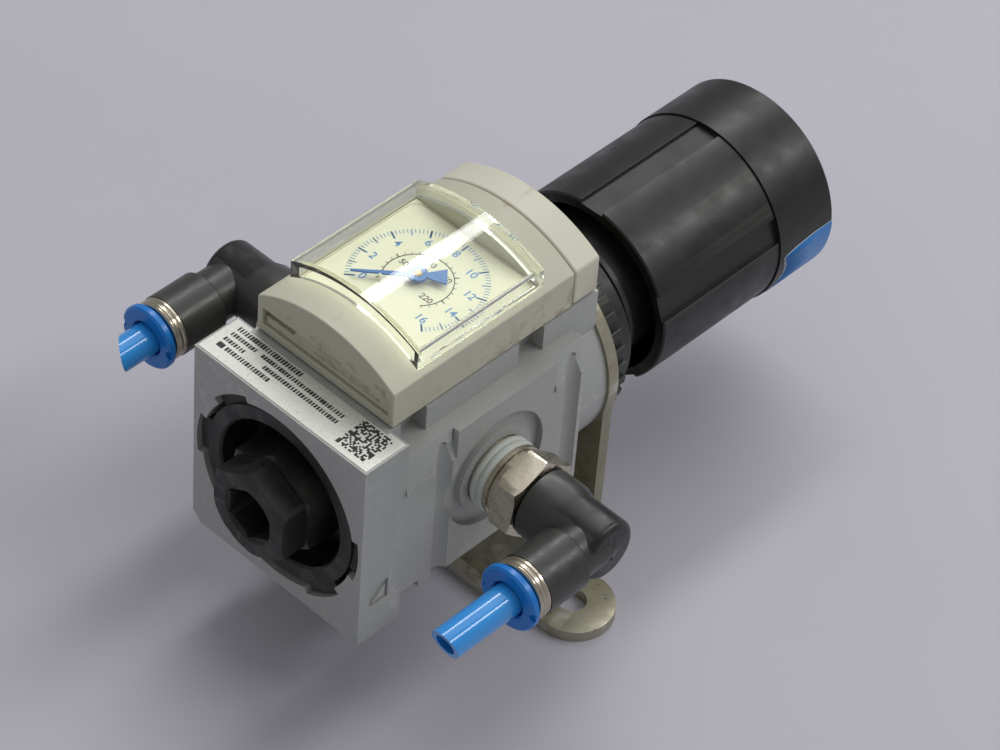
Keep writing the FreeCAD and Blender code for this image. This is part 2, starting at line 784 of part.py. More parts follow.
def knob():
    """Deep cup with five shallow flutes and an inner hub that slides on the hex drive."""
    rim = "cap_radius + fixed_gap"
    floor = "knob_far - cap_thick"
    shell = turned("knob_shell", [
        ("knob_bore", "knob_near"), ("knob_radius", "knob_near"),
                                  ("knob_cap_radius - band_lip", "knob_step - lip_long"),
        ("knob_cap_radius", "knob_step"), ("knob_cap_radius", "knob_far"), (rim, "knob_far"), (rim, floor),
        ("0", floor), ("0", "knob_hub_start"), ("knob_hub", "knob_hub_start"), ("knob_hub", "knob_floor"),
        ("knob_bore", "knob_floor")])
    tools = []
    count = int(number("flutes"))
    for index in range(count):
        flute = box("flute_%d" % index, ("knob_radius - flute_deep", "knob_radius + 2 * past"),
                    ("knob_near - past", "knob_step"), ("-flute_half", "flute_half"))
        holder = grouped("flute_turned_%d" % index, flute)
        holder.Placement.Rotation = Rotation(Vector(0, -1, 0), number("flute_first") + 360 * index / count)
        tools.append(holder)
    socket = padded("knob_socket", hexagon("drive_flats + 2 * drive_gap"), "knob_hub_start - past",
                    "drive_end + drive_end_gap")
    socket.Placement.Rotation = ALONG_Y
    place(cut("knob_cut", shell, tools + [socket]), "knob")
    place(turned("cap_disc", [("0", floor), ("cap_radius", floor), ("cap_radius", "knob_far"),
                              ("0", "knob_far")]),
          "knob_cap")
    film = "knob_cap_radius + label_thick"
    patch = turned("label_patch", [("knob_cap_radius", "label_start"), (film, "label_start"),
                                   (film, "label_end"),
                                   ("knob_cap_radius", "label_end")], "label_turn")
    place(patch, "knob_label", Rotation(Vector(0, -1, 0), number("label_first")))


# ---- lock nut and bracket -------------------------------------------------------

def lock_nut():
    """Ribbed nut that clamps the bracket ring to the body."""
    rib_end = "nut_back + nut_rib_thick"
    bore = "neck_radius + running_gap"
    blank = turned("nut_blank", [
        (bore, "nut_back"), ("nut_radius", "nut_back"), ("nut_radius", rib_end),
        ("nut_nose", rib_end + " + nut_bevel"), ("nut_nose - nut_draft", "nut_back + nut_thick"),
        (bore, "nut_back + nut_thick")])
    count = int(number("nut_ribs"))
    grooves = []
    for index in range(count):
        groove = box("rib_cut_%d" % index, ("nut_radius - nut_rib_deep", "nut_radius + past"),
                     ("nut_back - past", rib_end + " + past"), ("-nut_rib_half", "nut_rib_half"))
        holder = grouped("rib_cut_turned_%d" % index, groove)
        holder.Placement.Rotation = Rotation(Vector(0, 1, 0), 360 * index / count)
        grooves.append(holder)
    place(cut("nut_cut", blank, grooves), "lock_nut")


def bracket():
    """Angle bracket: ring plate round the neck, bent into a base plate with slotted ears."""
    near = "body_long"
    far = "body_long + bracket_thick"
    floor = "-axis_height"
    top = "bracket_thick - axis_height"
    pieces = [rod("bracket_disc", "bracket_ring", ("0", near, "0"), "bracket_thick", ALONG_Y),
              box("bracket_leg", ("-bracket_half", "bracket_half"), (near, far), (floor, "0")),
              box("bracket_base", ("-bracket_half", "bracket_half"), ("base_front", far), (floor, top)),
              box("bracket_ears", ("ear_round - ear_half", "ear_half - ear_round"),
                  ("ear_front", "ear_back"),
                  (floor, top))]
    tools = [rod("bracket_hole", "neck_radius + free_gap", ("0", near + " - past", "0"),
                 "bracket_thick + 2 * past", ALONG_Y)]
    inner = "(slot_inner + slot_half)"
    outer = "(slot_outer - slot_half)"
    for side, sign in (("left", "-"), ("right", "")):
        pieces.append(rod("ear_end_" + side, "ear_round",
                          (sign + "(ear_half - ear_round)", "ear_along", floor),
                          "bracket_thick", ALONG_Z))
        for name, at in (("inner", inner), ("outer", outer)):
            tools.append(rod("slot_%s_%s" % (name, side), "slot_half",
                             (sign + at, "face_to_slots", floor + " - past"),
                             "bracket_thick + 2 * past", ALONG_Z))
        reach = (inner, outer) if side == "right" else ("-" + outer, "-" + inner)
        tools.append(box("slot_middle_" + side, reach, ("face_to_slots - slot_half",
                                                        "face_to_slots + slot_half"),
                         (floor + " - past", top + " + past")))
    place(cut("bracket_cut", fuse("bracket_solid", pieces), tools), "bracket")


# ---- gauge ------------------------------------------------------------------------

def arched(name, across, along, low, crown, radius):
    """A block under a cylinder-shaped top that runs along the axis."""
    block = box(name + "_block", across, along, (low, crown + " + past"))
    roof = rod(name + "_roof", radius, ("0", "(%s) - past" % along[0], "(%s) - (%s)" % (crown, radius)),
               "(%s) - (%s) + 2 * past" % (along[1], along[0]), ALONG_Y)
    return common(name, [block, roof])


def gauge_case():
    """Housing with a window and a front recess, the cover behind it, and the clip in the recess."""
    across = ("-gauge_half", "gauge_half")
    shell = arched("case_front", across, ("gauge_front", "gauge_seam - seam_gap / 2"), "gauge_low",
                   "arch_up",
                   "arch_radius")
    tools = [box("window", ("-window_half", "window_half"), ("window_front", "window_back"),
                 ("dial_up", "arch_up + past")),
             box("works_room", ("ledge_wide - window_half", "window_half - ledge_wide"),
                 ("window_front + ledge_wide", "window_back - ledge_wide"),
                 ("gauge_low - past", "dial_up + past")),
             box("clip_recess", ("-clip_half", "clip_half"),
                 ("gauge_front - past", "gauge_front + clip_deep"),
                 ("clip_low", "clip_high"))]
    place(cut("case_cut", shell, tools), "gauge_housing")
    place(arched("case_back", across, ("gauge_seam + seam_gap / 2", "gauge_back"), "gauge_low", "arch_up",
                 "arch_radius"), "rear_cover")
    along = ("gauge_front + clip_deep - clip_thick", "gauge_front + clip_deep")
    right = "clip_half - clip_gap"
    low = box("clip_low_part", ("-(%s)" % right, right), along,
              ("clip_low + clip_gap", "clip_high - clip_gap - clip_step"))
    tall = box("clip_tall_part", ("-clip_half / 2", right), along,
               ("clip_low + clip_gap", "clip_high - clip_gap"))
    place(fuse("clip_solid", [low, tall]), "clip_plate")


def lens():
    """Clear cover: four walls standing on the arch under a crowned top."""
    outer = arched("lens_outer", ("-lens_half", "lens_half"), ("lens_front", "lens_back"),
                   "dial_up - 2 * past", "lens_up", "lens_radius")
    inner = arched("lens_inner", ("lens_wall - lens_half", "lens_half - lens_wall"),
                   ("lens_front + lens_wall", "lens_back - lens_wall"), "dial_up - 3 * past",
                   "lens_up - lens_wall", "lens_radius - lens_wall")
    arch = rod("lens_foot", "arch_radius", ("0", "lens_front - past", "arch_up - arch_radius"),
               "lens_back - lens_front + 2 * past", ALONG_Y)
    place(cut("lens_cut", outer, [inner, arch]), "lens")


def dial_pieces():
    """Dial plate, pointer, its shaft with the pinion, and the stop pin."""
    plate = box("dial_plate", ("dial_gap - window_half", "window_half - dial_gap"),
                ("window_front + dial_gap", "window_back - dial_gap"), ("dial_up", "dial_up + dial_thick"))
    hole = rod("dial_hole", "arbor_radius + free_gap", ("0", "dial_centre", "dial_up - past"),
               "dial_thick + 2 * past", ALONG_Z)
    place(cut("dial_cut", plate, [hole]), "dial")
    needle = padded("needle", [
        ("-pointer_tail", "-pointer_wedge"), ("-pointer_hub", "-pointer_half"),
        ("pointer_reach", "-pointer_half / 3"), ("pointer_reach", "pointer_half / 3"),
        ("-pointer_hub", "pointer_half"), ("-pointer_tail", "pointer_wedge")],
        "pointer_up", "pointer_up + pointer_thick")
    hub = rod("needle_hub", "pointer_hub", ("0", "0", "pointer_up"), "pointer_thick + pointer_hub_over",
              ALONG_Z)
    turn = Rotation(Vector(0, 0, 1), number("pointer_zero"))
    place(fuse("needle_solid", [needle, hub]), "pointer", turn, ("0", "dial_centre", "0"))
    arbor = rod("arbor", "arbor_radius", ("0", "dial_centre", "base_top + fixed_gap"),
                "pointer_up - base_top - fixed_gap", ALONG_Z)
    pinion = rod("pinion", "pinion_radius", ("0", "dial_centre", "pinion_low"), "pinion_thick", ALONG_Z)
    place(fuse("arbor_solid", [arbor, pinion]), "pointer_shaft")
    pin = rod("zero_pin", "pin_radius", ("0", "0", "0"), "pin_high - dial_up - dial_thick", ALONG_Z)
    angle = "(pointer_zero + pin_after)"
    place(pin, "stop_pin", ALONG_Z, ("pin_reach * cos%s" % angle, "dial_centre + pin_reach * sin%s" % angle,
                                     "dial_up + dial_thick"))


def sector_gear():
    """Toothless sector whose rim runs by the pinion, on a pivot behind the arbor."""
    wedge = rod("sector_wedge", "sector_radius",
                ("0", "sector_pivot", "pinion_low + (pinion_thick - sector_thick) / 2"), "sector_thick",
                ALONG_Z)
    bind(wedge, "Angle", "sector_angle")
    wedge.Placement.Rotation = Rotation(Vector(0, 0, 1), number("sector_lead - sector_angle") - 90)
    boss = rod("sector_boss_rod", "sector_boss", ("0", "sector_pivot",
                                                  "base_top + movement_thick + fixed_gap"),
               "sector_boss_tall", ALONG_Z)
    place(fuse("sector_solid", [wedge, boss]), "sector_gear")


def gauge_works():
    """Base plate with the pressure stem, movement plate, curved tube and stem seal."""
    side = "(ledge_wide + works_side_gap)"
    plate = box("works_plate", (side + " - window_half", "window_half - " + side),
                ("window_front + " + side, "window_back - " + side), ("base_plate_low", "base_top"))
    stem = rod("works_stem", "stem_hole - seat_gap", ("0", "stem_along", "stem_low"),
               "base_plate_low - stem_low + base_plate_thick / 2", ALONG_Z)
    feed = rod("works_feed", "feed_radius", ("0", "stem_along", "stem_low - past"),
               "base_top - stem_low + 2 * past", ALONG_Z)
    place(cut("works_base", fuse("works_solid", [plate, stem]), [feed]), "gauge_base")
    disc = rod("movement_disc", "movement_radius", ("0", "dial_centre", "base_top"), "movement_thick",
               ALONG_Z)
    hole = rod("movement_hole", "arbor_radius + running_gap", ("0", "dial_centre", "base_top - past"),
               "movement_thick + 2 * past", ALONG_Z)
    place(cut("movement_cut", disc, [hole]), "movement_plate")
    tube = doc.addObject("PartDesign::Body", "bourdon_body")
    section = sketch_on(tube, "bourdon_section", "XZ_Plane")
    inner = "bourdon_radius - bourdon_half"
    outer = "bourdon_radius + bourdon_half"
    polygon(section, [(inner, "base_top"), (outer, "base_top"), (outer, "base_top + bourdon_tall"),
                      (inner, "base_top + bourdon_tall")])
    turn = tube.newObject("PartDesign::Revolution", "bourdon_bend")
    turn.Profile = section
    turn.ReferenceAxis = (section, ["V_Axis"])
    bind(turn, "Angle", "bourdon_turn")
    place(tube, "bourdon_tube", Rotation(Vector(0, 0, 1), number("bourdon_first")),
          ("0", "dial_centre", "0"))
    seal = ring("stem_ring", "gauge_seal_coil", "gauge_seal_wire", ("0", "0", "0"), ALONG_Z)
    place(seal, "gauge_seal", ALONG_Z, ("0", "stem_along", "band_up - gauge_seal_room + gauge_seal_wire"))


# ---- push-in elbows ---------------------------------------------------------------

class Fitting:
    """One swivel elbow, drawn with its stem along +Y and its outlet along +X."""

    def __init__(self, side):
        self.side = side
        self.turn = Rotation(Vector(0, 0, 1), -90)
        self.at = ("body_half", "port_along", "0")
        if side == "left":
            self.turn = Rotation(Vector(0, 0, 1), 90).multiply(Rotation(Vector(0, 1, 0), 180))
            self.at = ("-body_half", "port_along", "0")

    def add(self, item, name):
        place(item, "%s_%s" % (name, self.side), self.turn, self.at)

    def outlet(self, name, outline):
        """A piece turned about the outlet axis: its own Y axis swings to +X."""
        more = " + outlet_more_" + self.side
        outline = [(radius, along if along == "0" else along + more) for radius, along in outline]
        piece = turned("%s_%s" % (name, self.side), outline)
        piece.Placement = Placement(Vector(), Rotation(Vector(0, 0, 1), -90))
        bind(piece, "Placement.Base.y", "elbow_at")
        return piece

    def add_outlet(self, name, outline):
        self.add(grouped("%s_group_%s" % (name, self.side), self.outlet(name + "_turned", outline)), name)

    def stem(self):
        """Nickelled stem with its hexagon, thread coating and swivel seal."""
        side = self.side
        groove = "swivel_radius - swivel_groove_deep"
        near = "swivel_end - swivel_groove_far"
        far = "swivel_end - swivel_groove_near"
        inside = "guide_gap - port_deep"
        shaft = turned("stem_shaft_" + side, [
            ("flow_radius", inside), ("thread_radius", inside), ("thread_radius", "coat_out"),
            ("collar_radius", "coat_out"), ("collar_radius", "hex_in + hex_root"),
            ("swivel_radius", "hex_in + hex_root"), ("swivel_radius", near), (groove, near), (groove, far),
            ("swivel_radius", far), ("swivel_radius", "swivel_end"), ("flow_radius", "swivel_end")])
        nut = padded("stem_hex_" + side, hexagon("hex_flats"), "hex_in", "hex_out")
        nut.Placement.Rotation = ALONG_Y.multiply(Rotation(Vector(0, 0, 1), number("hex_turn")))
        hole = rod("stem_flow_" + side, "flow_radius", ("0", "hex_in - past", "0"),
                   "hex_out - hex_in + 2 * past",
                   ALONG_Y)
        self.add(cut("stem_cut_" + side, fuse("stem_solid_" + side, [shaft, nut]), [hole]), "fitting_stem")
        outer = "thread_radius + coat_thick"
        vee = "coat_in + coat_step"
        self.add(turned("coat_" + side, [
            ("thread_radius", "coat_in"), (outer, "coat_in"), (outer, vee),
            (outer + " - coat_groove", vee + " + coat_vee"), (outer, vee + " + 2 * coat_vee"),
            (outer, "coat_out"), ("thread_radius", "coat_out")]), "thread_coat")
        seal = ring("swivel_ring_" + side, "swivel_radius - swivel_groove_deep / 2", "swivel_seal_wire",
                    ("0", "swivel_end - (swivel_groove_near + swivel_groove_far) / 2", "0"), ALONG_Y)
        self.add(grouped("swivel_group_" + side, seal), "swivel_seal")

    def elbow(self):
        """Plastic elbow: barrel over the stem, round knee, outlet barrel for the tube."""
        side = self.side
        start = "hex_out + fixed_gap"
        barrel = turned("barrel_" + side, [
            ("0", start), ("barrel_radius - edge_bevel", start), ("barrel_radius", start + " + edge_bevel"),
            ("barrel_radius", "barrel_end"), ("post_radius", "cone_end"),
            ("post_radius", "post_end - post_round"), ("post_radius - post_round", "post_end"),
            ("0", "post_end")])
        knees = []
        for name, radius in (("knee", "elbow_radius"), ("knee_flow", "flow_radius")):
            knee = doc.addObject("Part::Sphere", "%s_%s" % (name, side))
            bind(knee, "Radius", radius)
            bind(knee, "Placement.Base.y", "elbow_at")
            knees.append(knee)
        arm = self.outlet("arm", [
            ("0", "0"), ("elbow_radius", "0"), ("elbow_radius", "outlet_start"),
            ("outlet_radius - edge_bevel", "outlet_start"), ("outlet_radius", "outlet_start + edge_bevel"),
            ("outlet_radius", "outlet_end"), ("0", "outlet_end")])
        post = "swivel_radius + running_gap"
        post_room = turned("post_room_" + side, [
            ("0", "hex_out - past"), (post, "hex_out - past"), (post, "swivel_end + fixed_gap"),
            ("flow_radius", "swivel_end + fixed_gap"), ("flow_radius", "elbow_at"), ("0", "elbow_at")])
        tube_room = self.outlet("tube_room", [
            ("0", "0"), ("flow_radius", "0"), ("flow_radius", "tube_stop"),
                                              ("tube_radius + tube_fit", "tube_stop"),
            ("tube_radius + tube_fit", "collet_start"), ("collet_bore", "collet_start"),
            ("collet_bore", "outlet_end + past"), ("0", "outlet_end + past")])
        solid = fuse("elbow_solid_" + side, [barrel, knees[0], arm])
        self.add(cut("elbow_cut_" + side, solid, [post_room, knees[1], tube_room]), "elbow")

    def tube_pieces(self):
        """Collar ring, tube seal, grip ring, release ring and the stub of tube, along the outlet."""
        groove = "outlet_end + collar_groove_at"
        self.add_outlet("collar_ring", [
            ("collet_bore", "outlet_end"), ("collar_ring_radius", "outlet_end"),
                                        ("collar_ring_radius", groove),
            ("collar_ring_radius - collar_groove", groove + " + collar_groove_half"),
            ("collar_ring_radius", groove + " + 2 * collar_groove_half"),
            ("collar_ring_radius", "collar_ring_end - edge_bevel"),
            ("collar_ring_radius - edge_bevel", "collar_ring_end"), ("collet_bore", "collar_ring_end")])
        inner = "tube_radius + tube_fit"
        outer = "collet_bore - fixed_gap"
        rings = {"tube_seal": ("collet_start + guide_gap", "collet_start + tube_seal_long"),
                 "grip_ring": ("grip_start", "grip_start + grip_thick")}
        for name, (near, far) in rings.items():
            self.add_outlet(name, [(inner, near), (outer, near), (outer, far), (inner, far)])
        bore = "tube_radius + free_gap"
        self.add_outlet("release_ring", [
            (bore, "release_start"), ("release_sleeve", "release_start"),
                                         ("release_sleeve", "release_flange_start"),
            ("release_flange", "release_flange_start"), ("release_flange", "release_end - release_bevel"),
            ("release_flange - release_bevel", "release_end"), (bore, "release_end")])
        reach = "tube_reach_" + self.side
        start = "tube_stop + fixed_gap"
        tube = self.outlet("tube_wall", [("tube_bore", start), ("tube_radius", start),
                                         ("tube_radius", reach),
                                         ("tube_bore", reach)])
        block = ("-slant_block", "slant_block")
        slant = box("tube_end_cut_" + self.side, ("0", "slant_block"), block, block)
        tilt = "tube_slant_" + self.side
        roll = "tube_roll_" + self.side
        tilted = Rotation(Vector(0, 0, 1), number(tilt))
        slant.Placement.Rotation = Rotation(Vector(1, 0, 0), number(roll)).multiply(tilted)
        bind(slant, "Placement.Base.x", "%s + outlet_more_%s - tube_radius * tan(%s) + slant_block * sin(%s)"
             % (reach, self.side, tilt, tilt))
        bind(slant, "Placement.Base.y", "elbow_at - slant_block * cos(%s) * cos(%s) + slant_block * sin(%s)"
             % (tilt, roll, roll))
        bind(slant, "Placement.Base.z", "-slant_block * cos(%s) * sin(%s) - slant_block * cos(%s)"
             % (tilt, roll, roll))
        self.add(cut("tube_cut_" + self.side, tube, [slant]), "tube")


body_casting()
rating_label()
valve_plug()
valve_pieces()
coil_spring("valve_spring", "valve_coil", "valve_wire", "valve_turns", "plug_inner", "poppet_back")
diaphragm_pieces()
bonnet()
coil_spring("main_spring", "main_coil", "main_wire", "main_turns", "pressure_face + plate_thick",
            "spring_plate_at")
spring_plate()
spindle()
knob()
lock_nut()
bracket()
gauge_case()
lens()
dial_pieces()
sector_gear()
gauge_works()
for side in ("left", "right"):
    fitting = Fitting(side)
    fitting.stem()
    fitting.elbow()
    fitting.tube_pieces()
doc.recompute()

# ---- check every object, then write one STEP file per sub-part ----------------
faults = [item.Name for item in doc.Objects if "Invalid" in item.State or "Error" in item.State]
for item in NODES:
    if item.Shape.isNull() or not item.Shape.isValid() or not item.Shape.Solids:
        faults.append(item.Label)
if faults:
    raise SystemExit("faulty objects: " + ", ".join(faults))
os.makedirs("parts", exist_ok=True)
for item in NODES:
    item.Shape.exportStep("parts/%s.step" % item.Label)
    size = item.Shape.BoundBox
    edges = (size.XMin, size.XMax, size.YMin, size.YMax, size.ZMin, size.ZMax)
    print("%-20s %8.1f mm3, solids %d, box" % (item.Label, item.Shape.Volume, len(item.Shape.Solids)),
          edges)
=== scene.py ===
import json
import math
import random

import bmesh
import bpy
from mathutils import Matrix, Vector


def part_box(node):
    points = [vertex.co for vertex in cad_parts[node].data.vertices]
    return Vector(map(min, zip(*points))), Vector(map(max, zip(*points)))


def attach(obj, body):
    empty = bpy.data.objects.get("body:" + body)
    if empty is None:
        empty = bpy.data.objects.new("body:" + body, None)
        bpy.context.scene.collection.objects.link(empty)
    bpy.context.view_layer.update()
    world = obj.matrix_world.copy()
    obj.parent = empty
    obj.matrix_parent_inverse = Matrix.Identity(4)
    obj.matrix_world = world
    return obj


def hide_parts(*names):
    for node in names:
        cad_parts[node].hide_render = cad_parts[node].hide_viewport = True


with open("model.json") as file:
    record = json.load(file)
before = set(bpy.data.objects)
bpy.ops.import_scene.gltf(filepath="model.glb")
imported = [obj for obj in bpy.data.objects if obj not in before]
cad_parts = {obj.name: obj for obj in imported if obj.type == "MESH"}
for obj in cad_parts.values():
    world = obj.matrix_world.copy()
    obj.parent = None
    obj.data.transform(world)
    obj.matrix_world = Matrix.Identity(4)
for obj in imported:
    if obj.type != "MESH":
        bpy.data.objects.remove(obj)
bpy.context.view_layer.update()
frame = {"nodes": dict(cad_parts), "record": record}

# ---- room ---------------------------------------------------------------------
# The regulator lies on a plain pale table under two long strip lamps, in a room
# with pale walls. The camera stands in front of it, to its right and above.
MM = 0.001
knob_low, knob_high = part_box("knob")
ORIGIN = Vector((0.0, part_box("body_casting")[0].y, (knob_low.z + knob_high.z) / 2))


def srgb(red, green, blue):
    """A colour as a paint chart gives it, from 0 to 255, for a shader."""
    steps = [value / 255 for value in (red, green, blue)]
    return [s / 12.92 if s <= 0.04045 else ((s + 0.055) / 1.055) ** 2.4 for s in steps] + [1.0]


def material(name, colour, roughness, metallic=0.0, **shader):
    """A material with one surface shader; the other numbers go on its own sockets."""
    made = bpy.data.materials.new(name)
    made.use_nodes = True
    surface = made.node_tree.nodes["Principled BSDF"]
    surface.inputs["Base Color"].default_value = colour
    surface.inputs["Roughness"].default_value = roughness
    surface.inputs["Metallic"].default_value = metallic
    for socket, value in shader.items():
        surface.inputs[socket.replace("_", " ")].default_value = value
    return made


def shader_node(made, kind, **values):
    """A node with some of its sockets set, by number or by name."""
    node = made.node_tree.nodes.new(kind)
    for socket, value in values.items():
        key = int(socket[1:]) if socket[1:].isdigit() else socket.replace("_", " ")
        if isinstance(value, bpy.types.NodeSocket):
            made.node_tree.links.new(value, node.inputs[key])
        else:
            node.inputs[key].default_value = value
    return node


def grain(made, size, detail=2.0, roughness=0.5, stretch=(1, 1, 1)):
    """Noise whose features are about size millimetres, fixed to the piece."""
    nodes = made.node_tree.nodes
    place = nodes.get("Texture Coordinate") or nodes.new("ShaderNodeTexCoord")
    squeezed = shader_node(made, "ShaderNodeMapping", Vector=place.outputs["Object"], Scale=stretch)
    noise = shader_node(made, "ShaderNodeTexNoise", Vector=squeezed.outputs[0], Scale=1 / (size * MM),
                        Detail=detail, Roughness=roughness)
    return noise.outputs[0]


def between(made, value, low, high, to_low=0.0, to_high=1.0):
    """Stretch a value from one range to another, held at the ends."""
    node = shader_node(made, "ShaderNodeMapRange", Value=value, From_Min=low, From_Max=high,
                       To_Min=to_low, To_Max=to_high)
    return node.outputs[0]


def edges(made, low, high):
    """Rises from 0 to 1 where the surface is convex, as at an edge."""
    nodes = made.node_tree.nodes
    shape = nodes.get("Geometry") or nodes.new("ShaderNodeNewGeometry")
    return between(made, shape.outputs["Pointiness"], low, high)


def times(made, first, second):
    node = made.node_tree.nodes.new("ShaderNodeMath")
    node.operation = "MULTIPLY"
    for socket, value in zip(node.inputs, (first, second)):
        if isinstance(value, bpy.types.NodeSocket):
            made.node_tree.links.new(value, socket)
        else:
            socket.default_value = value
    return node.outputs[0]


def tinted(made, factor, colour, under=None):
    """Lay a colour over the surface colour by a factor."""
    surface = made.node_tree.nodes["Principled BSDF"].inputs["Base Color"]
    mix = made.node_tree.nodes.new("ShaderNodeMix")
    mix.data_type = "RGBA"
    if surface.is_linked:
        made.node_tree.links.new(surface.links[0].from_socket, mix.inputs["A"])
    else:
        mix.inputs["A"].default_value = surface.default_value
    mix.inputs["B"].default_value = colour
    made.node_tree.links.new(factor, mix.inputs["Factor"])
    made.node_tree.links.new(mix.outputs["Result"], surface)


def drive(made, socket, value):
    """Let a texture set one of the shader's sockets."""
    made.node_tree.links.new(value, made.node_tree.nodes["Principled BSDF"].inputs[socket])


def mottled(made, colour, noise, low, high, most):
    """Lay a colour over the surface in patches; noise is what grain takes, most how strong they get."""
    tinted(made, between(made, grain(made, *noise), low, high, 0.0, most), colour)


def worn_edges(made, colour, low, high, most):
    """Lay a colour over the convex edges."""
    tinted(made, times(made, edges(made, low, high), most), colour)


def roughened(made, noise, smooth, rough):
    """Let noise move the roughness between two values."""
    drive(made, "Roughness", between(made, grain(made, *noise), 0.3, 0.7, smooth, rough))


def raised(made, height, depth):
    """Relief of the given depth in millimetres."""
    node = shader_node(made, "ShaderNodeBump", Height=height, Distance=depth * MM, Strength=1.0)
    made.node_tree.links.new(node.outputs[0], made.node_tree.nodes["Principled BSDF"].inputs["Normal"])


def lamp(name, direction, distance, wide, long, power):
    """A strip lamp that looks at the object; its length lies across its direction, near +Y."""
    light = bpy.data.lights.new(name, "AREA")
    light.shape = "RECTANGLE"
    light.size = wide
    light.size_y = long
    light.energy = power
    item = bpy.data.objects.new(name, light)
    bpy.context.scene.collection.objects.link(item)
    back = Vector(direction).normalized()
    along = (Vector((0, 1, 0)) - back * back.y).normalized()
    item.matrix_world = Matrix((along.cross(back), along, back)).transposed().to_4x4()
    item.location = VIEW_TARGET + back * distance
    return item


VIEW_TARGET = Vector((0.0052, 0.0043, 0.0363))
VIEW_DISTANCE = 0.6993
VIEW_AZIMUTH = math.radians(40.8)
VIEW_ELEVATION = math.radians(44.8)
VIEW_ROLL = math.radians(4.79)
VIEW_LENS = 147.76
level = math.cos(VIEW_ELEVATION)
view_back = Vector((math.sin(VIEW_AZIMUTH) * level, -math.cos(VIEW_AZIMUTH) * level,
                    math.sin(VIEW_ELEVATION)))
camera = bpy.data.objects.new("camera", bpy.data.cameras.new("camera"))
camera.data.lens = VIEW_LENS
camera.data.sensor_width = 36
camera.data.clip_start = 0.01
facing = view_back.to_track_quat("Z", "Y").to_matrix()
camera.rotation_euler = (facing @ Matrix.Rotation(VIEW_ROLL, 3, "Z")).to_euler()
camera.location = VIEW_TARGET + view_back * VIEW_DISTANCE
bpy.context.scene.collection.objects.link(camera)
bpy.context.scene.camera = camera
bpy.context.scene.view_settings.view_transform = "Standard"

world = bpy.data.worlds.new("room")
world.use_nodes = True
world.node_tree.nodes["Background"].inputs["Color"].default_value = srgb(228, 228, 229)
world.node_tree.nodes["Background"].inputs["Strength"].default_value = 0.40
bpy.context.scene.world = world
lamp("left_lamp", (-0.383, 0.537, 0.752), 1.4, 0.2, 1.3, 6.0)
lamp("right_lamp", (0.512, 0.537, 0.670), 1.4, 0.2, 1.3, 6.5)
lamp("ceiling", (-0.1, 0.25, 1.0), 1.6, 1.3, 1.3, 5.0)

table_paint = material("table_paint", srgb(186, 184, 194), 0.62)
mottled(table_paint, srgb(178, 177, 188), (60.0, 3.0), 0.35, 0.65, 0.25)
bpy.ops.mesh.primitive_plane_add(size=6.0, location=(0, 0, 0))
table = bpy.context.object
table.name = "table"
table.data.materials.append(table_paint)

# ---- cast body ------------------------------------------------------------------
# Pressure die-cast aluminium, blasted and painted pale grey: a square front
# block, a ported middle with rail grooves and clamping hooks, and a round rear
# collar. The bracket and the lock nut clamp behind it.


def span(node):
    """A CAD node's reach on each axis, in millimetres from the end face and the main axis."""
    low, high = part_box(node)
    return [((low[i] - ORIGIN[i]) / MM, (high[i] - ORIGIN[i]) / MM) for i in range(3)]


def new_piece(name, vertices, faces):
    """A mesh object drawn in millimetres from the end face and the main axis."""
    mesh = bpy.data.meshes.new(name)
    mesh.from_pydata([tuple(v) for v in vertices], [], faces)
    item = bpy.data.objects.new(name, mesh)
    bpy.context.scene.collection.objects.link(item)
    outward(item)
    return item


def outward(item):
    """Merge doubles and turn every face outwards."""
    shape = bmesh.new()
    shape.from_mesh(item.data)
    bmesh.ops.remove_doubles(shape, verts=shape.verts, dist=1e-5)
    bmesh.ops.recalc_face_normals(shape, faces=shape.faces)
    shape.to_mesh(item.data)
    shape.free()


# How two numbers across an axis and one along it become x, y and z.
AXIS_ORDER = {
    "x": lambda a, b, along: (along, a, b),
    "y": lambda a, b, along: (a, along, b),
    "z": lambda a, b, along: (a, b, along),
}


def prism(outline, low, high, axis="y"):
    """An outline pushed along an axis. Across y it is (x, z), across x (y, z), across z (x, y)."""
    order = AXIS_ORDER[axis]
    count = len(outline)
    vertices = [order(a, b, end) for end in (low, high) for a, b in outline]
    faces = [list(range(count)), list(range(count, 2 * count))]
    faces += [[i, (i + 1) % count, (i + 1) % count + count, i + count] for i in range(count)]
    return new_piece("prism", vertices, faces)


def block(across, along, height):
    (x0, x1), (y0, y1), (z0, z1) = across, along, height
    return prism([(x0, y0), (x1, y0), (x1, y1), (x0, y1)], z0, z1, "z")


def arc(radius, start, end, steps, centre=(0, 0)):
    """Points of an arc, angles in degrees."""
    angles = [math.radians(start + (end - start) * i / steps) for i in range(steps + 1)]
    return [(centre[0] + radius * math.cos(a), centre[1] + radius * math.sin(a)) for a in angles]


def bar(radius, low, high, axis="y", centre=(0, 0), steps=96):
    return prism(arc(radius, 0, 360 - 360 / steps, steps - 1, centre), low, high, axis)


def turned(outline, steps=128, axis="y"):
    """A (radius, along) outline turned about the main axis, or about x or z through the origin."""
    order = AXIS_ORDER[axis]
    vertices, rings = [], []
    for radius, along in outline:
        if radius < 1e-6:
            rings.append([len(vertices)] * steps)
            vertices.append(order(0, 0, along))
        else:
            rings.append(list(range(len(vertices), len(vertices) + steps)))
            vertices += [order(x, y, along) for x, y in arc(radius, 0, 360 - 360 / steps, steps - 1)]
    faces = []
    closed = outline[0][0] > 1e-6
    pairs = list(zip(rings, rings[1:])) + ([(rings[-1], rings[0])] if closed else [])
    for near, far in pairs:
        for i in range(steps):
            j = (i + 1) % steps
            corners = list(dict.fromkeys([near[i], near[j], far[j], far[i]]))
            if len(corners) > 2:
                faces.append(corners)
    return new_piece("turned", vertices, faces)


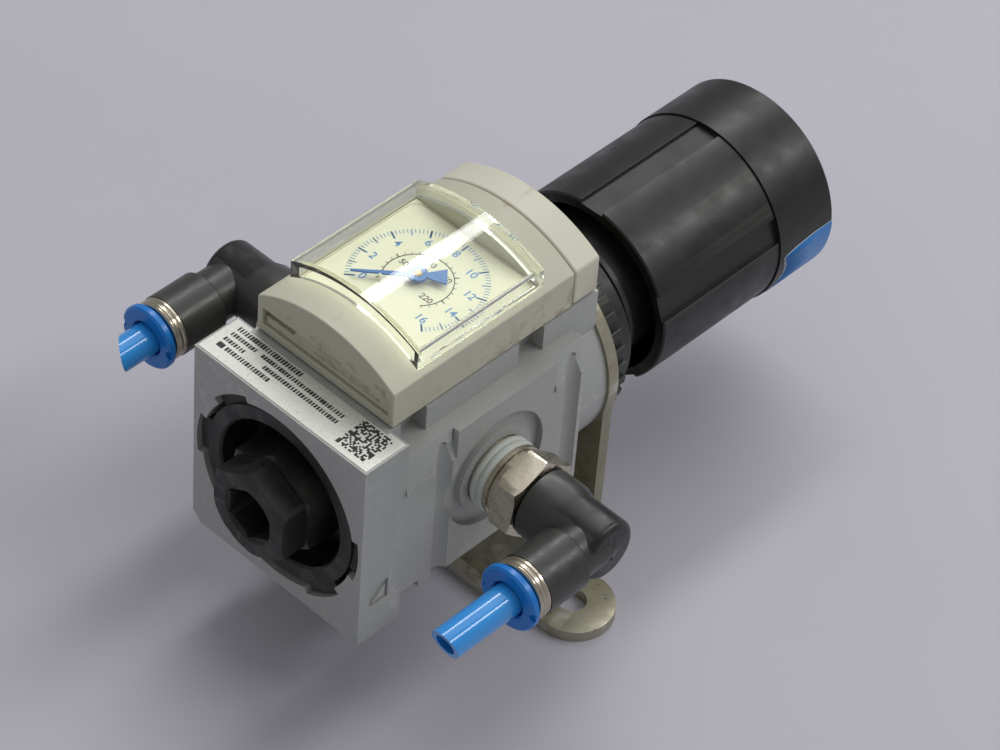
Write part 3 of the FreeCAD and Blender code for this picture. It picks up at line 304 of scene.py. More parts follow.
def together(base, others, operation="UNION"):
    """Join others to base, or cut them from it, and use them up."""
    for other in others:
        step = base.modifiers.new("join", "BOOLEAN")
        step.operation = operation
        step.solver = "EXACT"
        step.object = other
    settle(base)
    for other in others:
        bpy.data.objects.remove(other)
    return base


def settle(item):
    """Apply an object's modifiers to its mesh."""
    graph = bpy.context.evaluated_depsgraph_get()
    made = bpy.data.meshes.new_from_object(item.evaluated_get(graph), preserve_all_data_layers=True,
                                           depsgraph=graph)
    item.modifiers.clear()
    item.data = made


def cut(base, tools):
    return together(base, tools, "DIFFERENCE")


def softened(item, width, steps=2, angle=32):
    """Round every edge sharper than an angle and shade the flats flat."""
    outward(item)
    for face in item.data.polygons:
        face.use_smooth = True
    bevel = item.modifiers.new("bevel", "BEVEL")
    bevel.width = width
    bevel.segments = steps
    bevel.limit_method = "ANGLE"
    bevel.angle_limit = math.radians(angle)
    bevel.miter_outer = "MITER_ARC"
    bevel.harden_normals = True
    settle(item)
    return item


def finished(item, name, paint, body, *nodes, slot=None):
    """Scale a piece to metres, put it in its place, and give it its paint, body and CAD nodes."""
    item.data.transform(Matrix.Translation(ORIGIN) @ Matrix.Scale(MM, 4))
    item.name = name
    item.data.name = name
    if paint is not None:
        item.data.materials.clear()
        item.data.materials.append(paint)
    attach(item, body)
    if nodes:
        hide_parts(*nodes)
    return item


cast_paint = material("cast_paint", srgb(170, 172, 169), 0.5, 0.15, Specular_IOR_Level=0.42)
mottled(cast_paint, srgb(190, 192, 189), (0.3, 3.0), 0.42, 0.66, 0.22)
mottled(cast_paint, srgb(156, 157, 153), (14.0, 2.0), 0.4, 0.7, 0.14)
worn = between(cast_paint, grain(cast_paint, 1.6), 0.45, 0.7, 0.0, 0.5)
tinted(cast_paint, times(cast_paint, edges(cast_paint, 0.53, 0.62), worn), srgb(204, 206, 200))
roughened(cast_paint, (1.2, 3.0), 0.44, 0.56)
raised(cast_paint, grain(cast_paint, 0.3, 3.0, 0.6), 0.018)

HALF = span("body_casting")[0][1]
BLOCK_DEEP = 9.8
BLOCK_HALF_TALL = 20.5
BELLY = -16.5
LEDGE = 15.5
BAND_HALF = 16.0
BAND_TOP = 20.7
BODY_END = span("body_casting")[1][1]
RECESS = 17.9
PORT_Y = 31.3

tall = BLOCK_HALF_TALL
corner = 2.0
front_outline = [(-HALF + corner, -tall), (HALF, -tall), (HALF, tall), (-HALF, tall), (-HALF, -tall + corner)]
casting = prism(front_outline, 0, BLOCK_DEEP)
casting_parts = [
    block((-HALF, HALF), (BLOCK_DEEP - 1, 52.0), (BELLY, LEDGE)),
    block((-BAND_HALF, BAND_HALF), (BLOCK_DEEP - 1, BODY_END), (0, BAND_TOP)),
    bar(HALF, 50.0, BODY_END, steps=160),
]
casting_cuts = [block((-HALF - 1, HALF + 1), (BLOCK_DEEP, 14.0), (BELLY - 1, -14.8))]
hook_plates = []
HOOK_POCKETS = (11.8, 39.3)
RAILS = (18.7, 49.3)
RAIL_ROUND = 2.0
HOOK_FEET = ((BLOCK_DEEP, 21.5, 18.6), (45.0, 52.6, 49.3))
HOOK_TOP_IN = 2.0
HOOK_SLANT = 0.29
PLATE_PROUD = 0.6


def outside_hook(side, start, stop, foot, proud):
    """All that lies outside a hook's slanted face, which leans in towards its top."""
    top = HALF - HOOK_TOP_IN + proud
    outline = [(top, LEDGE + 0.1), (22.0, LEDGE + 0.1), (22.0, foot)]
    outline.append((top + HOOK_SLANT * (LEDGE - foot), foot))
    return prism([(side * x, z) for x, z in outline], start, stop)


def flank(side, low, high):
    """A range across one side of the body."""
    return tuple(sorted((side * low, side * high)))


for side in (-1, 1):
    for pocket in HOOK_POCKETS:
        casting_cuts.append(block(flank(side, 13.0, 21.0), (pocket, pocket + 6.0), (LEDGE, BAND_TOP + 1)))
    for rail in RAILS:
        casting_cuts.append(bar(RAIL_ROUND, BELLY - 1, LEDGE - 2.6, "z", (side * (HALF + 0.6), rail), 48))
    boss_ring = bar(11.3, *flank(side, 18.8, 21.0), "x", (PORT_Y, 0))
    casting_cuts.append(cut(boss_ring, [bar(8.4, *flank(side, 18.0, 22.0), "x", (PORT_Y, 0))]))
    casting_cuts.append(bar(6.6, *flank(side, 11.5, 21.0), "x", (PORT_Y, 0)))
    for start, stop, notch in HOOK_FEET:
        casting_cuts.append(outside_hook(side, start, stop, 9.3, 0.0))
        plate_outline = [(start - 0.2, LEDGE), (stop, LEDGE), (stop - 0.8, LEDGE - 2.0)]
        plate_outline += arc(1.1, 0, 180, 12, (notch, LEDGE - 2.4))
        plate_outline += [(notch - 2.0, LEDGE - 3.8), (start - 0.2, LEDGE - 6.6)]
        hook_plate = prism(plate_outline, *flank(side, 17.0, HALF + 0.45), "x")
        hook_plates.append(cut(hook_plate, [outside_hook(side, start - 1, stop + 1, 8.0, PLATE_PROUD)]))
    casting_parts.append(block(flank(side, 15.0, 18.0), (23.0, 38.0), (LEDGE - 0.9, LEDGE)))
mark = cut(block((HALF - 0.5, HALF + 1), (2.4, 6.6), (-13.0, -8.5)),
           [prism([(3.0, -12.4), (6.0, -12.4), (6.0, -9.8)], HALF - 0.9, HALF - 0.1, "x")])
casting_cuts.append(mark)
casting_cuts.append(bar(RECESS, -1, 4.2, steps=128))
casting_cuts.append(bar(RECESS - 3.2, 0, 12.0))
casting_cuts.append(bar(15.5, 52.0, BODY_END + 1, steps=128))
PLATE_TRAVEL = 1.2
PLATE_ROOM = 0.5
plate_near = span("diaphragm_plate")[1][0]
plate_round = span("diaphragm_plate")[0][1]
casting_cuts.append(bar(plate_round + PLATE_ROOM, plate_near - PLATE_TRAVEL - PLATE_ROOM, 53.0))
for centre in (-4, 128, 176, 308):
    notch = arc(19.2, centre - 14, centre + 14, 10) + arc(16.0, centre + 14, centre - 14, 10)
    casting_cuts.append(prism(notch, -1, 2.6))
together(casting, casting_parts)
cut(casting, casting_cuts)
together(casting, hook_plates)
softened(casting, 0.28, 2)
finished(casting, "body_casting_skin", cast_paint, "housing", "body_casting", slot="cast_body")

# ---- rating label -----------------------------------------------------------------
# Silver film printed with the type data and a dot patch, stuck on top of the
# front block. The print is replaced by plain bars.
label_film = material("label_film", srgb(222, 223, 214), 0.42, 0.2)
tinted(label_film, between(label_film, grain(label_film, 0.28, 2.0, 0.7), 0.50, 0.60), srgb(226, 227, 220))
mottled(label_film, srgb(176, 177, 170), (0.34, 2.0, 0.7), 0.58, 0.68, 0.6)
raised(label_film, grain(label_film, 0.25, 2.0), 0.01)
(label_left, label_right), (label_front, label_back), (label_low, label_high) = span("rating_label")
label = block((label_left, label_right), (label_front, label_back), (label_low - 0.05, label_high))
softened(label, 0.06, 1)
finished(label, "rating_label_film", label_film, "housing", "rating_label", slot="label_silver")

label_ink = material("label_ink", srgb(30, 31, 30), 0.6)
mottled(label_ink, srgb(80, 80, 78), (0.5,), 0.4, 0.7, 0.5)


def new_tree(name, sizes):
    """A Geometry Nodes tree with named inputs; gives the tree, its inputs and its output node."""
    tree = bpy.data.node_groups.new(name, "GeometryNodeTree")
    tree.interface.new_socket("Mesh", in_out="OUTPUT", socket_type="NodeSocketGeometry")
    for key, value in sizes.items():
        kind = "NodeSocketInt" if isinstance(value, int) else "NodeSocketFloat"
        tree.interface.new_socket(key, in_out="INPUT", socket_type=kind).default_value = value
    return tree, tree.nodes.new("NodeGroupInput").outputs, tree.nodes.new("NodeGroupOutput")


def step(tree, kind, inputs=(), **settings):
    """A node of a tree: inputs pairs a socket's name or number with a value or another socket."""
    node = tree.nodes.new(kind)
    for key, value in settings.items():
        setattr(node, key, value)
    for key, value in inputs:
        if isinstance(value, bpy.types.NodeSocket):
            tree.links.new(value, node.inputs[key])
        else:
            node.inputs[key].default_value = value
    return node.outputs


def calc(tree, operation, first, second):
    return step(tree, "ShaderNodeMath", ((0, first), (1, second)), operation=operation)[0]


def vector(tree, x=0.0, y=0.0, z=0.0):
    return step(tree, "ShaderNodeCombineXYZ", ((0, x), (1, y), (2, z)))[0]


def close_tree(tree, out, instances):
    """Turn the instances into one mesh that carries its material."""
    solid = step(tree, "GeometryNodeRealizeInstances", (("Geometry", instances),))[0]
    paint = tree.interface.new_socket("Paint", in_out="INPUT", socket_type="NodeSocketMaterial")
    source = [node for node in tree.nodes if node.type == "GROUP_INPUT"][0].outputs[paint.name]
    painted = step(tree, "GeometryNodeSetMaterial", (("Geometry", solid), ("Material", source)))[0]
    tree.links.new(painted, out.inputs[0])


def grown(tree, paint, **sizes):
    """A mesh object made by a tree with some of its inputs set."""
    item = bpy.data.objects.new("grown", bpy.data.meshes.new("grown"))
    bpy.context.scene.collection.objects.link(item)
    modifier = item.modifiers.new("grown", "NODES")
    modifier.node_group = tree
    for socket in tree.interface.items_tree:
        if socket.in_out == "INPUT" and socket.name in sizes:
            modifier[socket.identifier] = sizes[socket.name]
        if socket.name == "Paint":
            modifier[socket.identifier] = paint
    settle(item)
    return item


def joined(items):
    """One mesh object out of several, used up; each is closed and stands by itself."""
    shape = bmesh.new()
    for item in items:
        shape.from_mesh(item.data)
    base = items[0]
    shape.to_mesh(base.data)
    shape.free()
    for item in items[1:]:
        bpy.data.objects.remove(item)
    return base


def moved(item, across=0.0, along=0.0, height=0.0):
    item.data.transform(Matrix.Translation((across, along, height)))
    return item


# A row of bars of uneven length, for words that are left out.
row_sizes = {"Count": 8, "Pitch": 1.2, "Tall": 0.7, "Thick": 0.03, "Short": 0.4, "Long": 0.85, "Seed": 1}
rows_tree, sizes_in, rows_out = new_tree("rows_of_bars", row_sizes)
points = step(rows_tree, "GeometryNodePoints", (("Count", sizes_in["Count"]),))[0]
index = step(rows_tree, "GeometryNodeInputIndex")[0]
along_row = calc(rows_tree, "MULTIPLY", index, sizes_in["Pitch"])
offset = vector(rows_tree, x=along_row)
spread = step(rows_tree, "GeometryNodeSetPosition", (("Geometry", points), ("Offset", offset)))[0]
bar_size = vector(rows_tree, x=sizes_in["Pitch"], y=sizes_in["Tall"], z=sizes_in["Thick"])
one_bar = step(rows_tree, "GeometryNodeMeshCube", (("Size", bar_size),))[0]
share = step(rows_tree, "FunctionNodeRandomValue", ((2, sizes_in["Short"]), (3, sizes_in["Long"]),
                                                    ("Seed", sizes_in["Seed"])))[1]
stretch = vector(rows_tree, x=share, y=1.0, z=1.0)
close_tree(rows_tree, rows_out, step(rows_tree, "GeometryNodeInstanceOnPoints",
                                     (("Points", spread), ("Instance", one_bar), ("Scale", stretch)))[0])

# A square of small dots, about half of them missing.
dots_tree, sizes_in, dots_out = new_tree("dot_patch", {"Cells": 14, "Side": 7.0, "Thick": 0.03, "Seed": 4})
field = step(dots_tree, "GeometryNodeMeshGrid", (("Size X", sizes_in["Side"]), ("Size Y", sizes_in["Side"]),
                                                 ("Vertices X", sizes_in["Cells"]),
                                                 ("Vertices Y", sizes_in["Cells"])))[0]
keep = step(dots_tree, "FunctionNodeRandomValue", (("Probability", 0.55), ("Seed", sizes_in["Seed"])),
            data_type="BOOLEAN")[3]
cell_side = calc(dots_tree, "DIVIDE", sizes_in["Side"], calc(dots_tree, "SUBTRACT", sizes_in["Cells"], 1.0))
dot_size = vector(dots_tree, x=cell_side, y=cell_side, z=sizes_in["Thick"])
dot = step(dots_tree, "GeometryNodeMeshCube", (("Size", dot_size),))[0]
close_tree(dots_tree, dots_out, step(dots_tree, "GeometryNodeInstanceOnPoints",
                                     (("Points", field), ("Selection", keep), ("Instance", dot)))[0])

PRINT_UP = label_high + 0.02
lines = [(7.9, -17.6, 25, 0.6, 1.05, 1), (6.3, -17.6, 10, 0.6, 0.85, 2), (6.3, -10.4, 32, 0.6, 0.85, 3),
         (4.7, -17.6, 8, 0.6, 0.85, 4), (4.7, -8.4, 29, 0.6, 0.85, 5), (3.1, -15.6, 17, 0.6, 0.95, 6)]
print_rows = [moved(grown(rows_tree, label_ink, Count=count, Pitch=pitch, Tall=high, Seed=seed),
                    left, along, PRINT_UP) for along, left, count, pitch, high, seed in lines]
print_rows.append(moved(block((-0.7, 0.7), (-0.55, 0.55), (-0.015, 0.015)), -17.0, 3.1, PRINT_UP))
print_rows.append(moved(grown(dots_tree, label_ink, Cells=19, Side=6.4), 14.6, 5.0, PRINT_UP))
finished(joined(print_rows), "rating_label_print", label_ink, "housing", slot="black_plastic")

# ---- plug ---------------------------------------------------------------------------
# Glass-filled black plastic plug that closes the valve chamber. It is pushed in
# and turned by its hexagon until its four lugs lock in the casting's notches.
plug_black = material("plug_black", srgb(24, 24, 23), 0.5)
mottled(plug_black, srgb(60, 60, 55), (5.0, 5.0, 0.6), 0.5, 0.75, 0.55)
worn_edges(plug_black, srgb(70, 70, 66), 0.52, 0.6, 0.5)
roughened(plug_black, (2.5, 4.0), 0.4, 0.65)
raised(plug_black, grain(plug_black, 0.5, 3.0), 0.02)


def hexagon(flats, first=30.0):
    """Corners of a hexagon from its width over flats."""
    return arc(flats / math.sqrt(3), first, first + 300, 5)


def eased_hexagon(flats, low, high, ease, axis="y", first=30.0, both=False):
    """A hexagon bar whose corners are turned off at its low end, or at both."""
    corner_reach = flats / math.sqrt(3)
    drop = ease * 0.58
    profile = [(0, low), (corner_reach - ease, low), (corner_reach, low + drop)]
    profile += [(corner_reach, high - drop), (corner_reach - ease, high)] if both else [(corner_reach, high)]
    limit = turned(profile + [(0, high)], 96, axis)
    return together(prism(hexagon(flats, first), low, high, axis), [limit], "INTERSECT")


BOSS_FLATS = 16.2
BOSS_OUT = span("valve_plug")[1][0]
plug = turned([(0, 9.0), (14.0, 9.0), (14.0, 1.0), (14.4, 0.6), (17.0, 0.6), (17.0, 4.1), (14.5, 4.1),
               (14.5, 11.9), (9.1, 11.9), (9.1, 13.8), (7.6, 13.8), (7.6, 15.3), (9.1, 15.3), (9.1, 18.0),
               (6.0, 18.0), (6.0, 12.5), (0, 12.5)])
lugs = [prism(arc(19.0, centre - 12, centre + 12, 8) + arc(16.5, centre + 12, centre - 12, 8), 1.0, 2.5)
        for centre in (-4, 128, 176, 308)]
boss = eased_hexagon(BOSS_FLATS, BOSS_OUT, 9.5, 1.1)
foot = eased_hexagon(BOSS_FLATS + 1.6, -1.4, 9.5, 0.9)
together(plug, lugs + [boss, foot])
cut(plug, [eased_hexagon(9.3, BOSS_OUT - 1, 3.0, 0.2),
           turned([(0, BOSS_OUT - 1), (6.6, BOSS_OUT - 1), (5.0, BOSS_OUT + 0.5), (0, BOSS_OUT + 0.5)], 48)])
softened(plug, 0.3, 2)
finished(plug, "valve_plug_skin", plug_black, "housing", "valve_plug", slot="black_plastic")

# ---- gauge housing ------------------------------------------------------------------
# Cream plastic case of the pressure gauge, moulded with an arched back, a window
# opening and a recess in its front end that takes a clip plate.
cream_plastic = material("cream_plastic", srgb(194, 192, 173), 0.5, Specular_IOR_Level=0.4)
mottled(cream_plastic, srgb(182, 180, 160), (12.0, 4.0), 0.45, 0.75, 0.2)
mottled(cream_plastic, srgb(150, 146, 122), (1.4, 5.0, 0.7, (1, 0.35, 1)), 0.68, 0.76, 0.2)
tinted(cream_plastic, times(cream_plastic, edges(cream_plastic, 0.53, 0.62),
                            between(cream_plastic, grain(cream_plastic, 2.5, 3.0), 0.5, 0.62, 0.0, 0.6)),
       srgb(150, 132, 104))
roughened(cream_plastic, (2.0, 3.0), 0.42, 0.58)
raised(cream_plastic, grain(cream_plastic, 0.4, 2.0), 0.012)

GAUGE_HALF = span("gauge_housing")[0][1]
(gauge_near, gauge_seam), (gauge_low, gauge_crown) = span("gauge_housing")[1:]
ARCH = 28.2
WINDOW_HALF = 13.9
WINDOW = (17.0, 44.8)
DIAL_LOW = span("dial")[2][0]


def arch_outline(half, low, crown, radius):
    """A rectangle whose top is an arc, as (across, height)."""
    reach = math.degrees(math.asin(half / radius))
    return [(-half, low), (half, low)] + arc(radius, 90 - reach, 90 + reach, 40, (0, crown - radius))


case = prism(arch_outline(GAUGE_HALF, gauge_low, gauge_crown, ARCH), gauge_near, gauge_seam)
cut(case, [block((-WINDOW_HALF, WINDOW_HALF), WINDOW, (DIAL_LOW, gauge_crown + 1)),
           block((-13.0, 13.0), (17.9, 43.9), (gauge_low - 1, DIAL_LOW + 1)),
           block((-14.5, 14.5), (gauge_near - 1, gauge_near + 1.6), (22.6, 26.2)),
           block((-14.5, -7.4), (gauge_near - 1, gauge_near + 3.0), (23.4, 26.2))])
softened(case, 0.45, 3)
finished(case, "gauge_housing_skin", cream_plastic, "housing", "gauge_housing", slot="cream_plastic")

# ---- rear cover -----------------------------------------------------------------------
# The end piece of the gauge case, clipped on behind it and a shade warmer where
# hands have held it.
cover_cream = material("cover_cream", srgb(210, 208, 190), 0.48, Specular_IOR_Level=0.4)
mottled(cover_cream, srgb(160, 152, 128), (2.0, 5.0, 0.7, (1, 0.4, 1)), 0.64, 0.74, 0.25)
worn_edges(cover_cream, srgb(160, 146, 118), 0.53, 0.62, 0.35)
raised(cover_cream, grain(cover_cream, 0.4, 2.0), 0.012)
cover_near, cover_far = span("rear_cover")[1]
cover = prism(arch_outline(GAUGE_HALF, gauge_low, gauge_crown, ARCH), cover_near, cover_far)
softened(cover, 0.5, 3)
finished(cover, "rear_cover_skin", cover_cream, "housing", "rear_cover", slot="cream_plastic")

# ---- clip plate -------------------------------------------------------------------------
# Moulded clip that is pushed into the recess and holds the gauge to the casting;
# its upper edge is stepped, with a small finger notch.
clip_left, clip_right = span("clip_plate")[0]
clip_near, clip_far = span("clip_plate")[1]
clip_low, clip_high = span("clip_plate")[2]
clip = prism([(clip_left, clip_low), (clip_right, clip_low), (clip_right, clip_high), (-7.2, clip_high),
              (-7.9, clip_high - 1.5), (clip_left, clip_high - 1.5)], clip_near, clip_far)
cut(clip, [block((-3.0, 12.0), (clip_near - 1, clip_near + 0.3), (clip_low + 0.9, clip_low + 1.5))])
softened(clip, 0.15, 2)
finished(clip, "clip_plate_skin", cream_plastic, "housing", "clip_plate", slot="cream_plastic")

# ---- dial -------------------------------------------------------------------------------
# White printed plate under the lens: a blue outer scale from 0 to 16, a black
# inner one, and a thin brown border. Words and units are left out.
dial_white = material("dial_white", srgb(222, 221, 206), 0.55)
mottled(dial_white, srgb(214, 212, 196), (8.0, 3.0), 0.4, 0.7, 0.4)
scale_blue = material("scale_blue", srgb(44, 124, 196), 0.5)
mottled(scale_blue, srgb(74, 144, 206), (0.6,), 0.4, 0.7, 0.4)
scale_black = material("scale_black", srgb(38, 38, 38), 0.55)
mottled(scale_black, srgb(70, 70, 66), (0.6,), 0.4, 0.7, 0.4)
border_brown = material("border_brown", srgb(150, 120, 96), 0.6)
mottled(border_brown, srgb(180, 160, 136), (0.8,), 0.4, 0.7, 0.5)

(dial_left, dial_right), (dial_near, dial_far), (dial_low, dial_high) = span("dial")
DIAL_MIDDLE = (dial_near + dial_far) / 2
DIAL_PRINT = dial_high + 0.02
plate = block((dial_left, dial_right), (dial_near, dial_far), (dial_low, dial_high))
cut(plate, [bar(0.9, dial_low - 1, dial_high + 1, "z", (0, DIAL_MIDDLE), 32)])
softened(plate, 0.1, 2)
finished(plate, "dial_plate", dial_white, "housing", "dial", slot="dial_white")

# Blocks round a centre: count of them, from a first angle by a step, in degrees.
ring_sizes = {"Count": 9, "First": 0.0, "Turn": 10.0, "Reach": 10.0, "Long": 1.0, "Wide": 0.2, "Thick": 0.03}
ring_tree, sizes_in, ring_out = new_tree("ring_of_blocks", ring_sizes)
places = step(ring_tree, "GeometryNodePoints", (("Count", sizes_in["Count"]),))[0]
index = step(ring_tree, "GeometryNodeInputIndex")[0]
degrees = calc(ring_tree, "ADD", sizes_in["First"], calc(ring_tree, "MULTIPLY", index, sizes_in["Turn"]))
angle = calc(ring_tree, "MULTIPLY", degrees, math.pi / 180)
block_size = vector(ring_tree, x=sizes_in["Long"], y=sizes_in["Wide"], z=sizes_in["Thick"])
one_block = step(ring_tree, "GeometryNodeMeshCube", (("Size", block_size),))[0]
centre_at = calc(ring_tree, "SUBTRACT", sizes_in["Reach"], calc(ring_tree, "DIVIDE", sizes_in["Long"], 2.0))
push = vector(ring_tree, x=centre_at)
pushed = step(ring_tree, "GeometryNodeTransform", (("Geometry", one_block), ("Translation", push)))[0]
swing = vector(ring_tree, z=angle)
close_tree(ring_tree, ring_out, step(ring_tree, "GeometryNodeInstanceOnPoints",
                                     (("Points", places), ("Instance", pushed), ("Rotation", swing)))[0])


def figures(values, size, reach, first, turn):
    """Numbers standing upright round the dial's centre."""
    made = []
    for place, value in enumerate(values):
        curve = bpy.data.curves.new("figures", "FONT")
        curve.body = str(value)
        curve.size = size
        curve.align_x = "CENTER"
        curve.align_y = "CENTER"
        curve.extrude = 0.01
        curve.offset = 0.02
        text = bpy.data.objects.new("figures", curve)
        bpy.context.scene.collection.objects.link(text)
        graph = bpy.context.evaluated_depsgraph_get()
        mesh = bpy.data.meshes.new_from_object(text.evaluated_get(graph))
        bpy.data.objects.remove(text)
        item = bpy.data.objects.new("figures", mesh)
        bpy.context.scene.collection.objects.link(item)
        swing_angle = math.radians(first + turn * place)
        made.append(moved(item, reach * math.cos(swing_angle), reach * math.sin(swing_angle)))
    return made


ZERO_AT = 222.0
SWEEP = 264.0
TICK_SIZES = ((81, 0.9, 0.12), (17, 1.5, 0.2), (9, 1.8, 0.34))
outer = [grown(ring_tree, scale_blue, Count=count, First=ZERO_AT, Turn=-SWEEP / (count - 1), Reach=12.0,
               Long=long, Wide=wide) for count, long, wide in TICK_SIZES]
outer += figures(range(0, 17, 2), 2.2, 9.0, ZERO_AT, -SWEEP / 8)
outer_scale = moved(joined(outer), 0, DIAL_MIDDLE, DIAL_PRINT)
finished(outer_scale, "dial_outer_scale", scale_blue, "housing", slot="pointer_blue")

INNER_TOP = 232.0
inner_turn = -SWEEP / INNER_TOP
INNER_TICKS = ((24, 10, 6.6, 0.6, 0.1), (5, 50, 6.85, 0.85, 0.2))
inner = [grown(ring_tree, scale_black, Count=count, First=ZERO_AT, Turn=each * inner_turn, Reach=tip,
               Long=long, Wide=wide) for count, each, tip, long, wide in INNER_TICKS]
inner_line = arc(6.14, ZERO_AT, ZERO_AT - SWEEP, 80) + arc(5.96, ZERO_AT - SWEEP, ZERO_AT, 80)
inner.append(prism(inner_line, -0.015, 0.015, "z"))
inner += figures((50, 100, 150), 1.7, 4.5, ZERO_AT + 50 * inner_turn, 50 * inner_turn)
inner += figures((220,), 1.7, 4.5, ZERO_AT + 220 * inner_turn, 0)
inner_scale = moved(joined(inner), 0, DIAL_MIDDLE, DIAL_PRINT)
finished(inner_scale, "dial_inner_scale", scale_black, "housing", slot="black_plastic")


def rounded_frame(half_wide, half_long, radius):
    """An outline round a rectangle with rounded corners."""
    points_round = []
    for quarter, (sx, sy) in enumerate(((1, 1), (-1, 1), (-1, -1), (1, -1))):
        middle = (sx * (half_wide - radius), sy * (half_long - radius))
        points_round += arc(radius, 90 * quarter, 90 * quarter + 90, 6, middle)
    return points_round


edge_outer = rounded_frame(13.5, 13.5, 2.2)
edge_inner = rounded_frame(13.38, 13.38, 2.1)
border = prism(edge_outer, -0.01, 0.01, "z")
cut(border, [prism(edge_inner, -0.1, 0.1, "z")])
moved(border, 0, DIAL_MIDDLE, DIAL_PRINT)
finished(border, "dial_border", border_brown, "housing", slot="dial_white")

# ---- pointer and stop pin ---------------------------------------------------------------
# Stamped and blue-painted pointer pressed on the shaft by its hub; at rest it
# stands at zero, against a small white pin in the dial.
pointer_blue = material("pointer_blue", srgb(18, 96, 180), 0.4)
mottled(pointer_blue, srgb(50, 124, 196), (1.5,), 0.45, 0.7, 0.4)
pin_white = material("pin_white", srgb(226, 224, 210), 0.45)
mottled(pin_white, srgb(205, 202, 186), (0.7,), 0.4, 0.7, 0.5)
shaft_brass = material("shaft_brass", srgb(188, 160, 100), 0.3, 1.0)
mottled(shaft_brass, srgb(160, 132, 84), (0.8,), 0.4, 0.7, 0.5)
pointer_low, pointer_high = span("pointer")[2]
needle_up = pointer_low + 0.3
needle = prism([(-4.8, -1.75), (-1.6, -0.62), (11.0, -0.18), (11.0, 0.18), (-1.6, 0.62), (-4.8, 1.75)],
               pointer_low, needle_up, "z")
hub = bar(1.7, pointer_low, pointer_high, "z", steps=48)
together(needle, [hub])
softened(needle, 0.08, 2)
turn_to_zero = Matrix.Rotation(math.radians(ZERO_AT), 4, "Z")
needle.data.transform(turn_to_zero)
moved(needle, 0, DIAL_MIDDLE)
finished(needle, "pointer_skin", pointer_blue, "pointer", "pointer", slot="pointer_blue")
rivet = turned([(0, pointer_high - 0.1), (0.75, pointer_high - 0.1), (0.75, pointer_high + 0.1),
                (0.5, pointer_high + 0.25), (0, pointer_high + 0.3)], 32, "z")
moved(rivet, 0, DIAL_MIDDLE)
finished(softened(rivet, 0.04, 2), "pointer_rivet", shaft_brass, "pointer", slot="brass")
pin_box = span("stop_pin")
pin_high = pin_box[2][1]
PIN_ROUND = 0.35
pin = turned([(0, dial_high), (PIN_ROUND, dial_high), (PIN_ROUND, pin_high - 0.2), (0.2, pin_high),
              (0, pin_high)], 32, "z")
moved(pin, (pin_box[0][0] + pin_box[0][1]) / 2, (pin_box[1][0] + pin_box[1][1]) / 2)
finished(softened(pin, 0.04, 2), "stop_pin_skin", pin_white, "housing", "stop_pin", slot="dial_white")

# ---- lens ---------------------------------------------------------------------------------
# Clear moulded cover with four thick walls under a crowned top, welded on the
# arch of the case. Its cut edges look yellow-green.
lens_clear = material("lens_clear", srgb(249, 251, 242), 0.02, Transmission_Weight=1.0, IOR=1.49)
drive(lens_clear, "Roughness", between(lens_clear, grain(lens_clear, 3.0, 4.0), 0.5, 0.8, 0.015, 0.12))
nodes = lens_clear.node_tree.nodes
passing = shader_node(lens_clear, "ShaderNodeBsdfTransparent", Color=srgb(250, 251, 244))
rays = nodes.new("ShaderNodeLightPath")
either = shader_node(lens_clear, "ShaderNodeMixShader", s0=rays.outputs["Is Shadow Ray"],
                     s1=nodes["Principled BSDF"].outputs[0], s2=passing.outputs[0])
lens_clear.node_tree.links.new(either.outputs[0], nodes["Material Output"].inputs["Surface"])
LENS_WALL = 1.4
LENS_ROUND = 32.6
lens_right = span("lens")[0][1]
(lens_near, lens_far), (lens_low, lens_crown) = span("lens")[1:]
lens = prism(arch_outline(lens_right, lens_low - 2, lens_crown, LENS_ROUND), lens_near, lens_far)
inside = arch_outline(lens_right - LENS_WALL, lens_low - 3, lens_crown - LENS_WALL, LENS_ROUND - LENS_WALL)
hollow = prism(inside, lens_near + LENS_WALL, lens_far - LENS_WALL)
under = bar(ARCH + 0.02, lens_near - 1, lens_far + 1, "y", (0, gauge_crown - ARCH), 360)
cut(lens, [hollow, under])
softened(lens, 0.35, 3)
finished(lens, "lens_skin", lens_clear, "housing", "lens", slot="clear_plastic")

# ---- bracket ----------------------------------------------------------------------------
# Angle bracket stamped and bent from 2.3 mm steel, zinc plated and passivated;
# the lock nut clamps its ring, and screws hold the two slotted ears.
zinc_steel = material("zinc_steel", srgb(172, 168, 146), 0.36, 0.9)
mottled(zinc_steel, srgb(144, 137, 112), (7.0, 4.0, 0.6), 0.42, 0.68, 0.6)
mottled(zinc_steel, srgb(92, 74, 52), (1.5, 5.0, 0.7), 0.62, 0.72, 0.6)
worn_edges(zinc_steel, srgb(206, 204, 192), 0.52, 0.58, 0.8)
roughened(zinc_steel, (1.5, 4.0), 0.26, 0.5)
raised(zinc_steel, grain(zinc_steel, 0.6, 3.0), 0.015)
(base_front, ring_far), (floor, ring_top) = span("bracket")[1:]
THICK = 2.3
BEND = 1.4
LEG_HALF = 19.8
EAR_ROUND = 7.3
EAR_AT = (30.1, 43.3)
bend_at = (ring_far - THICK - BEND, floor + THICK + BEND)
angle_iron = prism([(base_front, floor)] + arc(THICK + BEND, 270, 360, 12, bend_at)
                   + [(ring_far, 0), (ring_far - THICK, 0)] + arc(BEND, 360, 270, 8, bend_at)
                   + [(base_front, floor + THICK)], -LEG_HALF, LEG_HALF, "x")
ears = block((-EAR_AT[0], EAR_AT[0]), (EAR_AT[1] - EAR_ROUND, EAR_AT[1] + EAR_ROUND), (floor, floor + THICK))
ends = [bar(EAR_ROUND, floor, floor + THICK, "z", (side * EAR_AT[0], EAR_AT[1]), 64) for side in (-1, 1)]
disc = bar(ring_top, ring_far - THICK, ring_far, steps=160)
together(angle_iron, [ears, disc] + ends)
slots = []
